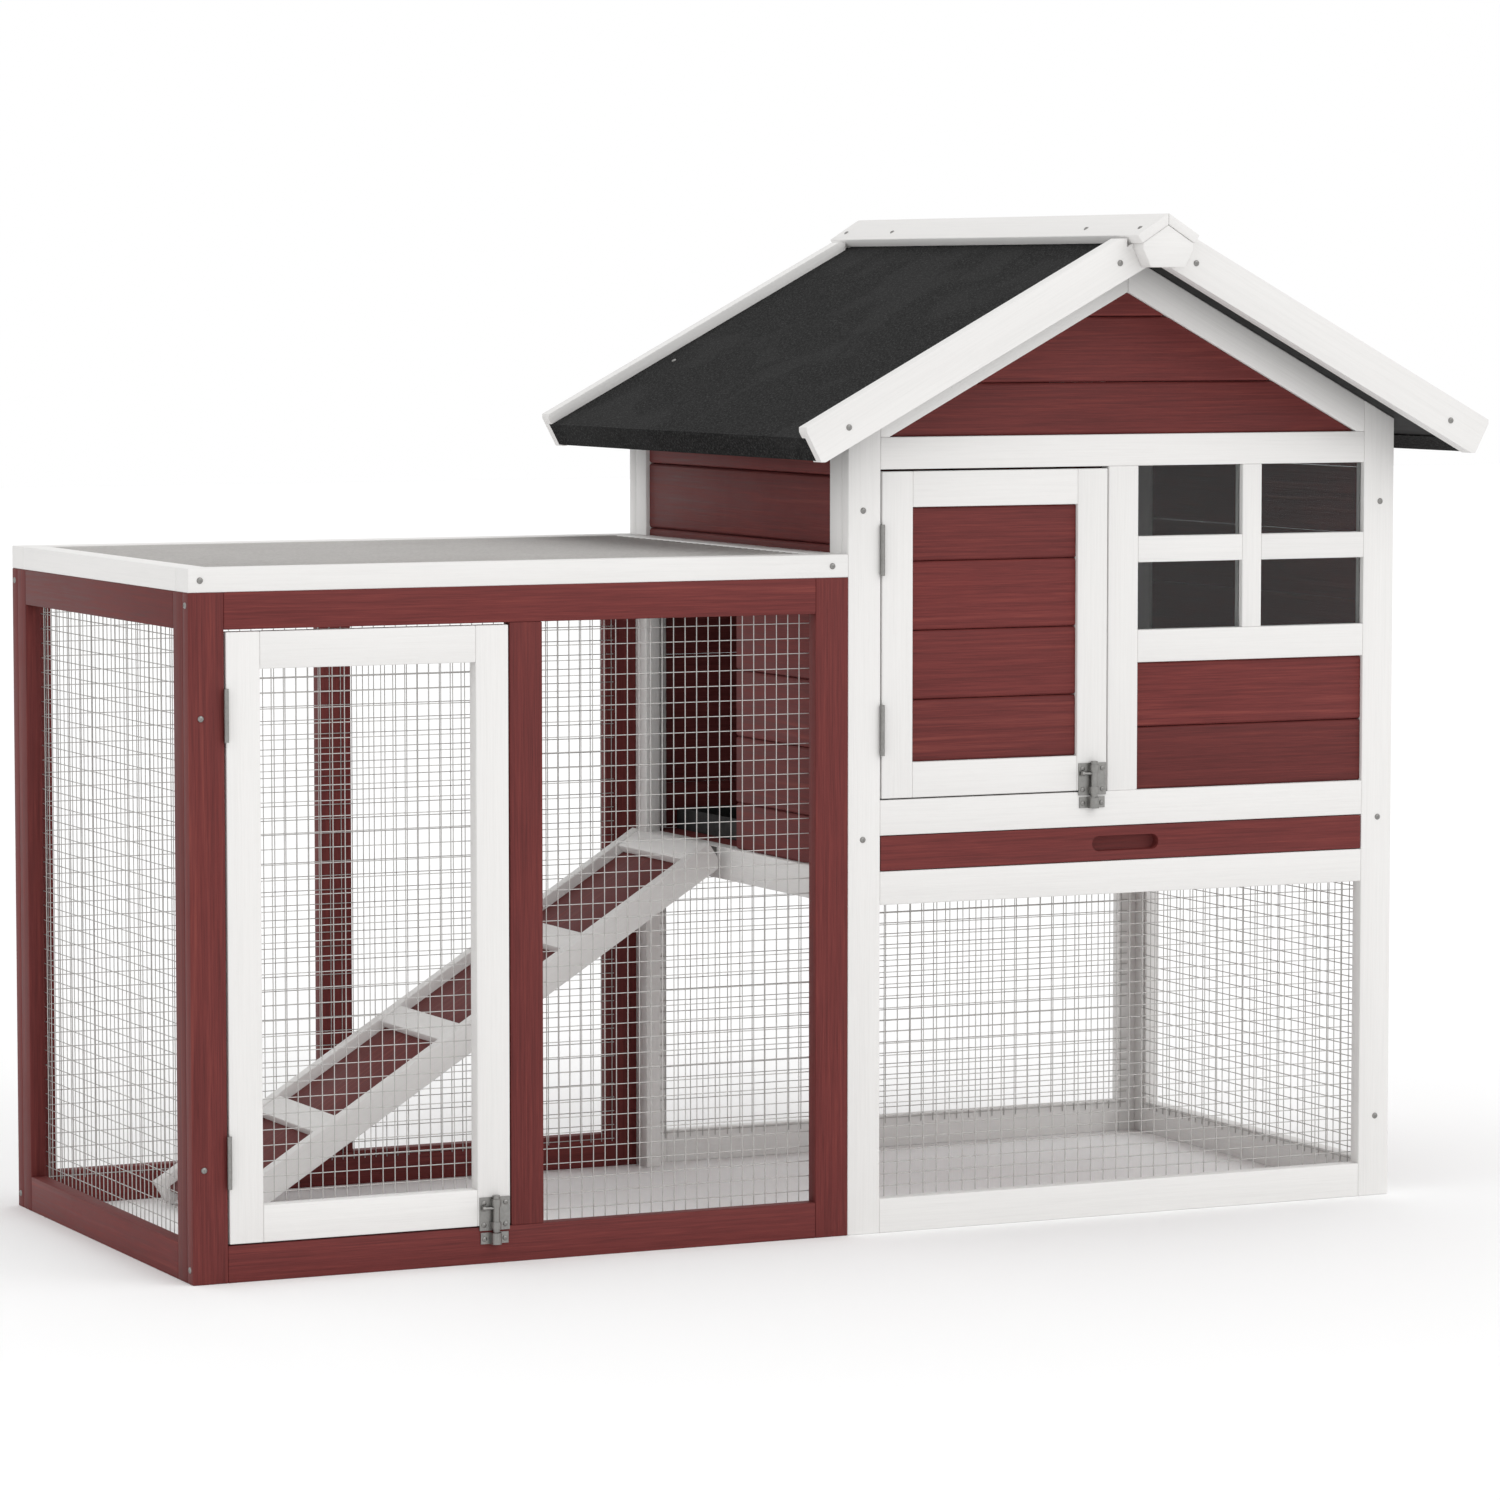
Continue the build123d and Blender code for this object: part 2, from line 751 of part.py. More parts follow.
with BuildPart() as house_wall_boards:
    outer_face = house_x0 + lining_setback
    for low, high in board_rows(deck_rail_top, side_top_rail, joints_through(doorway_top)):
        boards_end = doorway_y0 if high < doorway_top else side_y[1]
        prism_y(
            board_section(outer_face, outer_face + lining, low, high), side_y[0], boards_end
        )
    outer_face = house_x1 - lining_setback
    for low, high in board_rows(deck_rail_top, side_top_rail, joints_through(doorway_top)):
        prism_y(board_section(outer_face, outer_face - lining, low, high), *side_y)
    outer_face = back - lining_setback
    for low, high in board_rows(deck_rail_top, gable_rail_bottom, joints_through(doorway_top)):
        prism_x(
            board_section(outer_face, outer_face - lining, low, high), house_left, house_right
        )
finish(house_wall_boards, "house_wall_boards")

with BuildPart() as house_right_wire:
    wire_facing_x(side_y, house_wire_z, house_x1 - timber - mesh_thickness)
finish(house_right_wire, "house_right_wire")

# ---- upper floor and tray --------------------------------------------------
floor_x = (house_x0 + timber, house_x1 - timber)
with BuildPart() as floor_deck:
    board(floor_x, (inner_front, inner_back), (deck_rail_top - deck_thickness, deck_rail_top))
finish(floor_deck, "floor_deck")

with BuildPart() as floor_ledgers:
    ledger_top = deck_rail_top - deck_thickness
    for x in (floor_x[0], floor_x[1] - ledger):
        board((x, x + ledger), (inner_front, inner_back), (ledger_top - ledger, ledger_top))
finish(floor_ledgers, "floor_ledgers")

tray_x = (house_left + tray_gap, house_right - tray_gap)
tray_z = (deck_rail_top + tray_gap, sill_bottom - tray_gap)
with BuildPart() as tray_front:
    board(tray_x, (front, front + tray_board), tray_z)
    handle_middle = (ridge_x, front, (tray_z[0] + tray_z[1]) / 2)
    with BuildSketch(Plane(origin=handle_middle, x_dir=(1, 0, 0), z_dir=(0, -1, 0))):
        SlotOverall(handle_width, handle_height)
    extrude(amount=-handle_depth, mode=Mode.SUBTRACT)
finish(tray_front, "tray_front")

pan_x = (tray_x[0] + pan_side_gap, tray_x[1] - pan_side_gap)
pan_y = (front + tray_board, inner_back - pan_back_gap)
pan_z = (tray_z[0], tray_z[0] + pan_height)
with BuildPart() as tray_pan:
    board(pan_x, pan_y, pan_z)
    board(
        (pan_x[0] + pan_sheet, pan_x[1] - pan_sheet),
        (pan_y[0] + pan_sheet, pan_y[1] - pan_sheet),
        (pan_z[0] + pan_sheet, pan_z[1]),
        mode=Mode.SUBTRACT,
    )
finish(tray_pan, "tray_pan")

# ---- roof ------------------------------------------------------------------
eave_x = house_width / 2 + eave_reach
panel_y = (
    front - gable_reach + barge_thickness - barge_rebate,
    back + gable_reach - barge_thickness + barge_rebate,
)


def slope_point(side, along, height):
    """A point on one roof slope: along it from the ridge, and square above it."""
    x = along * cos(roof_pitch) + height * sin(roof_pitch)
    z = roof_underside_top - along * sin(roof_pitch) + height * cos(roof_pitch)
    return (ridge_x + side * x, z)


def slab(side, start, end, low, high):
    """A slab on one slope, its ridge end plumb and its eave end square."""
    ridge_low = roof_underside_top + square(low) - start * tan(roof_pitch)
    ridge_high = roof_underside_top + square(high) - start * tan(roof_pitch)
    return [
        (ridge_x + side * start, ridge_low),
        slope_point(side, end, low),
        slope_point(side, end, high),
        (ridge_x + side * start, ridge_high),
    ]


barge_high = roof_board + felt + barge_lift
barge_low = barge_high - barge_width
tip_reach = max(
    barge_high * sin(roof_pitch) - barge_clip / 2 * cos(roof_pitch),
    (barge_high - barge_clip) * sin(roof_pitch),
)
barge_end = (eave_x - tip_reach) / cos(roof_pitch)
panel_end = barge_end - felt
cap_inner_run = cap_width * cos(cap_pitch) - cap_thickness * sin(cap_pitch)
cap_inner_top = felt_top - cap_inner_run * (tan(roof_pitch) - tan(cap_pitch)) + joint_gap
cap_outer_top = cap_inner_top + cap_thickness / cos(cap_pitch)
with BuildPart() as roof_boards:
    for side in (-1, 1):
        prism_y(slab(side, joint_gap, panel_end, 0, roof_board), *panel_y)
finish(roof_boards, "roof_boards")

with BuildPart() as roof_felt:
    for side in (-1, 1):
        outline = slab(side, joint_gap, panel_end + felt, roof_board, roof_board + felt)
        turned = [
            outline[0],
            slope_point(side, panel_end, roof_board),
            slope_point(side, panel_end, 0),
            slope_point(side, panel_end - felt_turn, 0),
            slope_point(side, panel_end - felt_turn, -felt),
            slope_point(side, panel_end + felt, -felt),
            slope_point(side, panel_end + felt, roof_board + felt),
            outline[3],
        ]
        prism_y(turned, *panel_y)
finish(roof_felt, "roof_felt")

with BuildPart() as bargeboards:
    for y0, y1 in (
        (front - gable_reach, front - gable_reach + barge_thickness),
        (back + gable_reach - barge_thickness, back + gable_reach),
    ):
        for side in (-1, 1):
            outline = slab(side, joint_gap / 2, barge_end, barge_low, barge_high)
            low_corner = slope_point(side, barge_end - barge_clip, barge_low)
            mid_corner = slope_point(side, barge_end, barge_low + barge_clip / 2)
            top_corner = slope_point(side, barge_end, barge_high - barge_clip)
            tip = slope_point(side, barge_end - barge_clip / 2, barge_high)
            prism_y(
                [outline[0], low_corner, mid_corner, top_corner, tip, outline[3]], y0, y1
            )
    for side in (-1, 1):
        prism_y(
            slab(side, 0, barge_end + overcut, -felt, roof_board + felt), *panel_y, mode=Mode.SUBTRACT
        )
    seat_x = (barge_top - barge_seat) / tan(roof_pitch)
    board(
        (ridge_x - seat_x, ridge_x + seat_x),
        (front - gable_reach - overcut, back + gable_reach + overcut),
        (barge_seat, barge_top),
        mode=Mode.SUBTRACT,
    )
    cut_x = cap_width * cos(cap_pitch) + joint_gap
    cut_z = cap_inner_top - joint_gap - cut_x * tan(cap_pitch)
    prism_y(
        [
            (ridge_x - cut_x, cut_z),
            (ridge_x, cap_inner_top - joint_gap),
            (ridge_x + cut_x, cut_z),
            (ridge_x + cut_x, barge_top),
            (ridge_x - cut_x, barge_top),
        ],
        front - gable_reach - overcut, back + gable_reach + overcut, mode=Mode.SUBTRACT,
    )
finish(bargeboards, "bargeboards")

cap_y = (
    front - gable_reach - plate_thickness - cap_overhang,
    back + gable_reach + plate_thickness + cap_overhang,
)
with BuildPart() as ridge_caps:
    for side in (-1, 1):
        gap = side * joint_gap / 2
        low_in = (cap_inner_run, cap_inner_top - cap_inner_run * tan(cap_pitch))
        low_out = (
            cap_inner_run + cap_thickness * sin(cap_pitch),
            low_in[1] + cap_thickness * cos(cap_pitch),
        )
        prism_y(
            [
                (ridge_x + gap, cap_inner_top - abs(gap) * tan(cap_pitch)),
                (ridge_x + side * low_in[0], low_in[1]),
                (ridge_x + side * low_out[0], low_out[1]),
                (ridge_x + gap, cap_outer_top - abs(gap) * tan(cap_pitch)),
            ],
            *cap_y,
        )
finish(ridge_caps, "ridge_caps")

plate_peak = cap_inner_top - joint_gap
shoulder_top = plate_peak - plate_width / 2 * tan(cap_pitch)
with BuildPart() as ridge_plates:
    for y0 in (front - gable_reach - plate_thickness, back + gable_reach):
        prism_y(
            [
                (ridge_x - plate_foot / 2, plate_peak - plate_height),
                (ridge_x + plate_foot / 2, plate_peak - plate_height),
                (ridge_x + plate_width / 2, shoulder_top - plate_shoulder),
                (ridge_x + plate_width / 2, shoulder_top),
                (ridge_x, plate_peak),
                (ridge_x - plate_width / 2, shoulder_top),
                (ridge_x - plate_width / 2, shoulder_top - plate_shoulder),
            ],
            y0, y0 + plate_thickness,
        )
finish(ridge_plates, "ridge_plates")

# ---- ramp ------------------------------------------------------------------
ramp_end_x = house_x0 - ramp_wall_gap
ramp_end_z = deck_rail_top - ramp_end_drop
ramp_pitch = atan2(ramp_end_z, ramp_reach)
ramp_middle_y = (doorway_y0 + doorway_y1) / 2
ramp_y = (ramp_middle_y - ramp_width / 2, ramp_middle_y + ramp_width / 2)
foot_x = ramp_end_x - ramp_reach


def ramp_point(along, height):
    """A point on the ramp: along it from the foot, and square above its underside."""
    x = along * cos(ramp_pitch) - height * sin(ramp_pitch)
    z = along * sin(ramp_pitch) + height * cos(ramp_pitch)
    return (foot_x + x, z + ramp_foot_gap)


ramp_length = ramp_reach / cos(ramp_pitch)
end_rise = ramp_point(ramp_length, 0)
crown_along = ramp_length + ramp_crown
clip_height = (crown_along - ramp_length) / tan(ramp_pitch)
with BuildPart() as ramp_rails:
    for y0 in (ramp_y[0], ramp_y[1] - ramp_rail_thickness):
        prism_y(
            [
                ramp_point(0, 0),
                end_rise,
                ramp_point(crown_along, clip_height),
                ramp_point(crown_along, ramp_rail_width),
                ramp_point(0, ramp_rail_width),
            ],
            y0, y0 + ramp_rail_thickness,
        )
finish(ramp_rails, "ramp_rails")

ramp_inside = (ramp_y[0] + ramp_rail_thickness, ramp_y[1] - ramp_rail_thickness)
deck_high = ramp_rail_width - ramp_batten_thickness - ramp_deck_recess
deck_low = deck_high - ramp_deck_thickness
deck_end = ramp_length - ramp_deck_head
with BuildPart() as ramp_deck:
    prism_y(
        [ramp_point(ramp_deck_foot, deck_low), ramp_point(deck_end, deck_low),
         ramp_point(deck_end, deck_high), ramp_point(ramp_deck_foot, deck_high)],
        *ramp_inside,
    )
finish(ramp_deck, "ramp_deck")

with BuildPart() as ramp_battens:
    for step in range(ramp_battens_count + 1):
        start = crown_along - ramp_batten - ramp_top_batten - step * ramp_batten_pitch
        if start > 0:
            batten_high = deck_high + ramp_batten_thickness
            prism_y(
                [ramp_point(start, deck_high), ramp_point(start + ramp_batten, deck_high),
                 ramp_point(start + ramp_batten, batten_high), ramp_point(start, batten_high)],
                *ramp_inside,
            )
finish(ramp_battens, "ramp_battens")

# ramp hangs by two eyes on pins held off the wall
ramp_axis = (house_x0 - ramp_pin - ramp_pin_wall_gap, deck_rail_top - ramp_pin_drop)
ramp_pin_y = (ramp_middle_y - ramp_pin_spacing / 2, ramp_middle_y + ramp_pin_spacing / 2)
hook_outer = ramp_pin / 2 + hook_wall


def round_bar(y, width, radius, mode=Mode.ADD):
    """A round bar on the ramp's axis, its middle at y."""
    with BuildSketch(Plane.XZ.offset(-(y + width / 2))) as section:
        with Locations(ramp_axis):
            Circle(radius)
    extrude(section.sketch, amount=width, mode=mode)


with BuildPart() as ramp_hooks:
    for y in ramp_pin_y:
        hook_y = (y - hook_width / 2, y + hook_width / 2)
        strip_end = deck_end - hook_lap
        top = ramp_point(deck_end, deck_low)
        bottom = ramp_point(deck_end, deck_low - hook_strip)
        prism_y(
            [ramp_point(strip_end, deck_low - hook_strip), bottom, top,
             ramp_point(strip_end, deck_low)],
            *hook_y,
        )
        neck_x = ramp_axis[0] - hook_neck
        prism_y(
            [bottom, (neck_x, ramp_axis[1] - hook_outer + hook_throat), (neck_x, ramp_axis[1]),
             (ramp_axis[0] - hook_outer + hook_throat, ramp_axis[1]), top],
            *hook_y,
        )
        round_bar(y, hook_width, hook_outer)
        round_bar(y, hook_width, ramp_pin / 2 + running_clearance, mode=Mode.SUBTRACT)
finish(ramp_hooks, "ramp_hooks")

with BuildPart() as ramp_hangers:
    for y in ramp_pin_y:
        cheek_end = hanger_cheek_gap / 2 + hanger_cheek
        round_bar(y, 2 * (cheek_end + ramp_pin_end), ramp_pin / 2)
        for low, high in ((y - cheek_end, y - hanger_cheek_gap / 2),
                          (y + hanger_cheek_gap / 2, y + cheek_end)):
            board(
                (ramp_axis[0] - ramp_pin / 2 - hanger_cheek_nose, house_x0 - hanger_plate),
                (low, high),
                (ramp_axis[1] - hanger_cheek_height / 2, ramp_axis[1] + hanger_cheek_height / 2),
            )
        board(
            (house_x0 - hanger_plate, house_x0),
            (y - hanger_plate_width / 2, y + hanger_plate_width / 2),
            (deck_rail_bottom + hanger_plate_foot, deck_rail_top - hanger_plate_head),
        )
finish(ramp_hangers, "ramp_hangers")


# ---- screws ----------------------------------------------------------------
def screw(point, direction, head):
    """A domed screw head standing on a surface."""
    plane = Plane(origin=point, z_dir=direction)
    radius = head / 2
    rise = head * screw_rise
    dome = (radius * radius + rise * rise) / (2 * rise)
    with BuildSketch(Plane(origin=plane.origin, x_dir=plane.x_dir, z_dir=-plane.y_dir)) as half:
        with BuildLine():
            Polyline((0, rise), (0, 0), (radius, 0))
            RadiusArc((radius, 0), (0, rise), -dome)
        make_face()
    revolve(half.sketch, axis=Axis(plane.origin, plane.z_dir))


def hardware_screws(door):
    """Four screws in the bolt's backplate."""
    for side in (-1, 1):
        for z in (
            door.plate_z + plate_screw_inset,
            door.plate_z + bolt_plate_height - plate_screw_inset,
        ):
            x = door.bolt_x + side * plate_screw_spread
            screw((x, door_front - plate_sheet, z), (0, -1, 0), small_head)


with BuildPart() as frame_screws:
    for z in run_screw_heights:
        screw((run_x0 + run_screw_inset, front, z), (0, -1, 0), screw_head)
    for z in (end_screw_low, run_height - end_screw_drop):
        for y in (front + timber / 2, back - timber / 2):
            screw((run_x0, y, z), (-1, 0, 0), screw_head)
    for x in (run_x0 + lid_screw_left, run_x1 - lid_screw_right):
        screw((x, front, run_height + lid_thickness / 2), (0, -1, 0), screw_head)
    for x, heights in (
        (house_x0 + timber, house_screw_heights[1:]),
        (house_x1 - timber, house_screw_heights),
    ):
        for z in heights:
            screw((x, front, z), (0, -1, 0), screw_head)
    for x in (house_x0 + timber, house_x1 - timber):
        for z in house_screw_heights:
            screw((x, back, z), (0, 1, 0), screw_head)
    for door in (run_door, house_door):
        for side in (-1, 1):
            x = door.bolt_x + side * keeper_screw_spread
            z = door.keeper_z - keeper_screw_drop
            screw((x, front - plate_sheet, z), (0, -1, 0), small_head)
finish(frame_screws, "frame_screws")

with BuildPart() as roof_screws:
    for side in (-1, 1):
        for along in (barge_screw_inset, barge_end - barge_screw_inset):
            x, z = slope_point(side, along, barge_low + barge_screw_rise)
            screw((x, front - gable_reach, z), (0, -1, 0), screw_head)
            screw((x, back + gable_reach, z), (0, 1, 0), screw_head)
        cap_screw_z = cap_outer_top - cap_screw_run * tan(cap_pitch)
        square_out = (side * sin(cap_pitch), 0, cos(cap_pitch))
        for inset in cap_screw_insets:
            for y in (cap_y[0] + inset, cap_y[1] - inset):
                screw((ridge_x + side * cap_screw_run, y, cap_screw_z), square_out, small_head)
        x, z = slope_point(side, felt_screw_run, roof_board + felt)
        for y in (front - felt_screw_reach, back + felt_screw_reach):
            screw((x, y, z), (side * sin(roof_pitch), 0, cos(roof_pitch)), small_head)
finish(roof_screws, "roof_screws")

for hinged_door, door_name in ((run_door, "run_door"), (house_door, "house_door")):
    with BuildPart() as plate_screws:
        hardware_screws(hinged_door)
    finish(plate_screws, f"{door_name}_plate_screws")
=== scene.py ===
"""Looks for the two-storey rabbit hutch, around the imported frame.

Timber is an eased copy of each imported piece, the welded wire is woven at its
real pitch, and everything is dressed with procedural finishes.
"""
import json
import logging
from dataclasses import dataclass, field
from enum import Enum
from math import radians

import bpy
import numpy as np
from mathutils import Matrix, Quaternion, Vector

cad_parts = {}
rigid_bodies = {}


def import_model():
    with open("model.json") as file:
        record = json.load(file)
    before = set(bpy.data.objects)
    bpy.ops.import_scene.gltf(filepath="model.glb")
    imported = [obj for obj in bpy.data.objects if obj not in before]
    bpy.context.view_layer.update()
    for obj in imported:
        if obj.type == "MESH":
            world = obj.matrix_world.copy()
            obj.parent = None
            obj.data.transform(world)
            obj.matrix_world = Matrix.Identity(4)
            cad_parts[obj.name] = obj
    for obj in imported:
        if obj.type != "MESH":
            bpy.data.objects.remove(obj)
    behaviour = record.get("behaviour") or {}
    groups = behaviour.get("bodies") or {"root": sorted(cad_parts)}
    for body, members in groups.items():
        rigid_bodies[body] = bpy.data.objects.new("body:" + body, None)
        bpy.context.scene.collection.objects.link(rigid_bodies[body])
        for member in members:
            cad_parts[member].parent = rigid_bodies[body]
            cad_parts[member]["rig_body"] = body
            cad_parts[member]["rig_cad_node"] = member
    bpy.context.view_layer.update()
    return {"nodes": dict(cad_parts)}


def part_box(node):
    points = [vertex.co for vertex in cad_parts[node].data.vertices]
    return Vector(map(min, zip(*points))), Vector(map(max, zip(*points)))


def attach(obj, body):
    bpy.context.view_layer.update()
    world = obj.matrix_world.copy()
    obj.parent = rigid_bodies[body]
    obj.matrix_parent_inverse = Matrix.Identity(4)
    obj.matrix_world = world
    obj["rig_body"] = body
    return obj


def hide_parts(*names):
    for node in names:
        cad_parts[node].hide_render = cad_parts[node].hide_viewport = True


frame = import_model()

logging.basicConfig(level=logging.INFO, format="%(name)s: %(message)s")
log = logging.getLogger("hutch")

Colour = tuple[float, float, float]
SEED = 846
DOUBLES = 1e-5
GRAIN_PLACE = "grain_place"
BOARD_TONE = "board_tone"
END_GRAIN = "end_grain"
SEED_STEP = 17
GRAIN_SHIFT = 9.0       # furthest that a board's grain is moved, in metres
END_FACING = 0.8        # cosine past which a face counts as end grain
FLAT_ANGLE = 0.5        # degrees
BEVEL_ANGLE = 35.0
BEVEL_SEGMENTS = 2
TIMBER_SMOOTH = 30.0
HEAD_SMOOTH = 40.0
WIRE_SMOOTH = 70.0


class Axis(Enum):
    """The row axis that a flat sheet faces."""

    X = 0
    Y = 1
    Z = 2


class Slot(Enum):
    """The record's material slots."""

    WHITE = "white_painted_wood"
    RED = "red_stained_wood"
    BLACK = "black_painted_wood"
    PLAIN = "plain_wood"
    FELT = "roofing_felt"
    WIRE = "galvanised_wire"
    PLASTIC = "black_plastic"
    ZINC = "zinc_plated_steel"
    CLEAR = "clear_sheet"


# ---------------------------------------------------------------- node bench
class Bench:
    """A node tree with short ways to add and join nodes."""

    def __init__(self, tree: bpy.types.NodeTree) -> None:
        """Take over a tree.

        Args:
            tree: The tree that nodes are added to.
        """
        self.tree = tree

    def add(self, kind: str, **settings: object) -> bpy.types.Node:
        """Add a node and set its properties.

        Args:
            kind: The node's type name without its ShaderNode prefix.
            settings: Properties of the node.

        Returns:
            The new node.
        """
        node = self.tree.nodes.new("ShaderNode" + kind)
        for name, value in settings.items():
            setattr(node, name, value)
        return node

    def join(self, source: bpy.types.NodeSocket, *targets: bpy.types.NodeSocket) -> None:
        """Link one output to one or more inputs.

        Args:
            source: The output.
            targets: The inputs.
        """
        for target in targets:
            self.tree.links.new(source, target)

    def maths(self, operation: str, first: object, second: object = 0.0) -> bpy.types.NodeSocket:
        """Add a Math node.

        Args:
            operation: The node's operation.
            first: A socket or a number.
            second: A socket or a number.

        Returns:
            The node's output.
        """
        node = self.add("Math", operation=operation)
        for socket, value in zip(node.inputs, (first, second)):
            if isinstance(value, bpy.types.NodeSocket):
                self.join(value, socket)
            else:
                socket.default_value = value
        return node.outputs[0]

    def blend(
        self, amount: object, first: object, second: object, mode: str = "MIX"
    ) -> bpy.types.NodeSocket:
        """Mix two colours.

        Args:
            amount: Factor, a socket or a number.
            first: A socket or a colour.
            second: A socket or a colour.
            mode: The blend type.

        Returns:
            The mixed colour.
        """
        node = self.add("Mix", data_type="RGBA", blend_type=mode)
        for index, value in ((0, amount), (6, first), (7, second)):
            socket = node.inputs[index]
            if isinstance(value, bpy.types.NodeSocket):
                self.join(value, socket)
            elif index == 0:
                socket.default_value = value
            else:
                socket.default_value = (*value, 1.0)
        return node.outputs[2]

    def spread(
        self, value: bpy.types.NodeSocket, low: float, high: float, start: float, end: float
    ) -> bpy.types.NodeSocket:
        """Map a value from low..high to start..end, clamped.

        Args:
            value: The value to map.
            low: Value that gives start.
            high: Value that gives end.
            start: Result at low.
            end: Result at high.

        Returns:
            The mapped value.
        """
        node = self.add("MapRange")
        self.join(value, node.inputs[0])
        for index, number in enumerate((low, high, start, end), 1):
            node.inputs[index].default_value = number
        return node.outputs[0]

    def noise(
        self, place: bpy.types.NodeSocket, scale: float, detail: float = 3.0, warp: float = 0.0
    ) -> bpy.types.NodeSocket:
        """Add a noise texture.

        Args:
            place: Coordinates.
            scale: Features per metre of the coordinates.
            detail: Octaves.
            warp: Distortion.

        Returns:
            The noise value.
        """
        node = self.add("TexNoise")
        self.join(place, node.inputs["Vector"])
        node.inputs["Scale"].default_value = scale
        node.inputs["Detail"].default_value = detail
        node.inputs["Distortion"].default_value = warp
        return node.outputs[0]


def shader_group(
    name: str, inputs: dict[str, str], outputs: dict[str, str]
) -> tuple[bpy.types.NodeTree, Bench, bpy.types.Node, bpy.types.Node]:
    """Make an empty shader group with named sockets.

    Args:
        name: The group's name.
        inputs: Socket names and their types.
        outputs: Socket names and their types.

    Returns:
        The group, its bench, its input node and its output node.
    """
    tree = bpy.data.node_groups.new(name, "ShaderNodeTree")
    for side, sockets in (("INPUT", inputs), ("OUTPUT", outputs)):
        for label, kind in sockets.items():
            tree.interface.new_socket(name=label, in_out=side, socket_type="NodeSocket" + kind)
    source = tree.nodes.new("NodeGroupInput")
    sink = tree.nodes.new("NodeGroupOutput")
    return tree, Bench(tree), source, sink


@dataclass(frozen=True)
class GrainPattern:
    """Proportions of softwood grain, in a board's own coordinates."""

    fibre_stretch: Colour = (0.4, 1.0, 1.0)
    wave_scale: float = 24.0
    wave_warp: float = 7.0
    wave_detail: float = 3.0
    wave_detail_scale: float = 1.6
    streak_scale: float = 380.0
    streak_detail: float = 5.0
    streak_warp: float = 0.3
    streak_share: float = 0.6
    fibre_scale: float = 1300.0
    fibre_share: float = 0.4
    patch_scale: float = 14.0
    patch_warp: float = 0.8
    line_range: tuple[float, float] = (0.66, 1.0)
    patch_range: tuple[float, float] = (0.54, 0.72)
    knot_stretch: Colour = (0.45, 1.0, 0.6)
    knot_scale: float = 3.6
    knot_range: tuple[float, float] = (0.012, 0.035)


@dataclass(frozen=True)
class MarkPattern:
    """Proportions of dust and handling marks."""

    broad_scale: float = 4.0
    broad_warp: float = 0.5
    broad_range: tuple[float, float] = (0.4, 0.7)
    fine_scale: float = 60.0


def build_grain_group(look: GrainPattern) -> bpy.types.NodeTree:
    """Softwood grain: figure, fibres and knots along a board.

    Args:
        look: The grain's proportions.

    Returns:
        The group.
    """
    tree, bench, source, sink = shader_group(
        "Softwood Grain",
        {"Place": "Vector", "Along": "Float", "Across": "Float"},
        {"Figure": "Float", "Fibre": "Float", "Knot": "Float"},
    )
    stretch = bench.add("CombineXYZ")
    bench.join(source.outputs["Along"], stretch.inputs[0])
    bench.join(source.outputs["Across"], stretch.inputs[1], stretch.inputs[2])
    scaled = bench.add("VectorMath", operation="MULTIPLY")
    bench.join(source.outputs["Place"], scaled.inputs[0])
    bench.join(stretch.outputs[0], scaled.inputs[1])
    fine = bench.add("VectorMath", operation="MULTIPLY")
    fine.inputs[1].default_value = look.fibre_stretch
    bench.join(scaled.outputs[0], fine.inputs[0])
    wave = bench.add("TexWave", wave_type="BANDS", bands_direction="Y", wave_profile="SIN")
    bench.join(scaled.outputs[0], wave.inputs["Vector"])
    wave.inputs["Scale"].default_value = look.wave_scale
    wave.inputs["Distortion"].default_value = look.wave_warp
    wave.inputs["Detail"].default_value = look.wave_detail
    wave.inputs["Detail Scale"].default_value = look.wave_detail_scale
    streak = bench.noise(
        fine.outputs[0], look.streak_scale, look.streak_detail, look.streak_warp
    )
    fibre = bench.maths(
        "ADD", bench.maths("MULTIPLY", streak, look.streak_share),
        bench.maths(
            "MULTIPLY", bench.noise(fine.outputs[0], look.fibre_scale, 2.0), look.fibre_share
        ),
    )
    broad = bench.noise(scaled.outputs[0], look.patch_scale, 3.0, look.patch_warp)
    lines = bench.spread(wave.outputs[1], *look.line_range, 0.0, 1.0)
    figure = bench.maths("MULTIPLY", lines, bench.spread(broad, *look.patch_range, 0.0, 1.0))
    spots = bench.add("TexVoronoi")
    squeeze = bench.add("VectorMath", operation="MULTIPLY")
    squeeze.inputs[1].default_value = look.knot_stretch
    bench.join(source.outputs["Place"], squeeze.inputs[0])
    bench.join(squeeze.outputs[0], spots.inputs["Vector"])
    spots.inputs["Scale"].default_value = look.knot_scale
    knot = bench.spread(spots.outputs["Distance"], *look.knot_range, 1.0, 0.0)
    bench.join(figure, sink.inputs["Figure"])
    bench.join(fibre, sink.inputs["Fibre"])
    bench.join(knot, sink.inputs["Knot"])
    return tree


def build_handling_group(look: MarkPattern) -> bpy.types.NodeTree:
    """Faint dust and handling marks as one mask.

    Args:
        look: The marks' proportions.

    Returns:
        The group.
    """
    tree, bench, source, sink = shader_group(
        "Handling Marks", {"Place": "Vector", "Scale": "Float"}, {"Marks": "Float"}
    )
    scaled = bench.add("VectorMath", operation="SCALE")
    bench.join(source.outputs["Place"], scaled.inputs[0])
    bench.join(source.outputs["Scale"], scaled.inputs["Scale"])
    broad = bench.noise(scaled.outputs[0], look.broad_scale, 3.0, look.broad_warp)
    fine = bench.noise(scaled.outputs[0], look.fine_scale, 2.0)
    marks = bench.maths("MULTIPLY", bench.spread(broad, *look.broad_range, 0.0, 1.0), fine)
    bench.join(marks, sink.inputs["Marks"])
    return tree


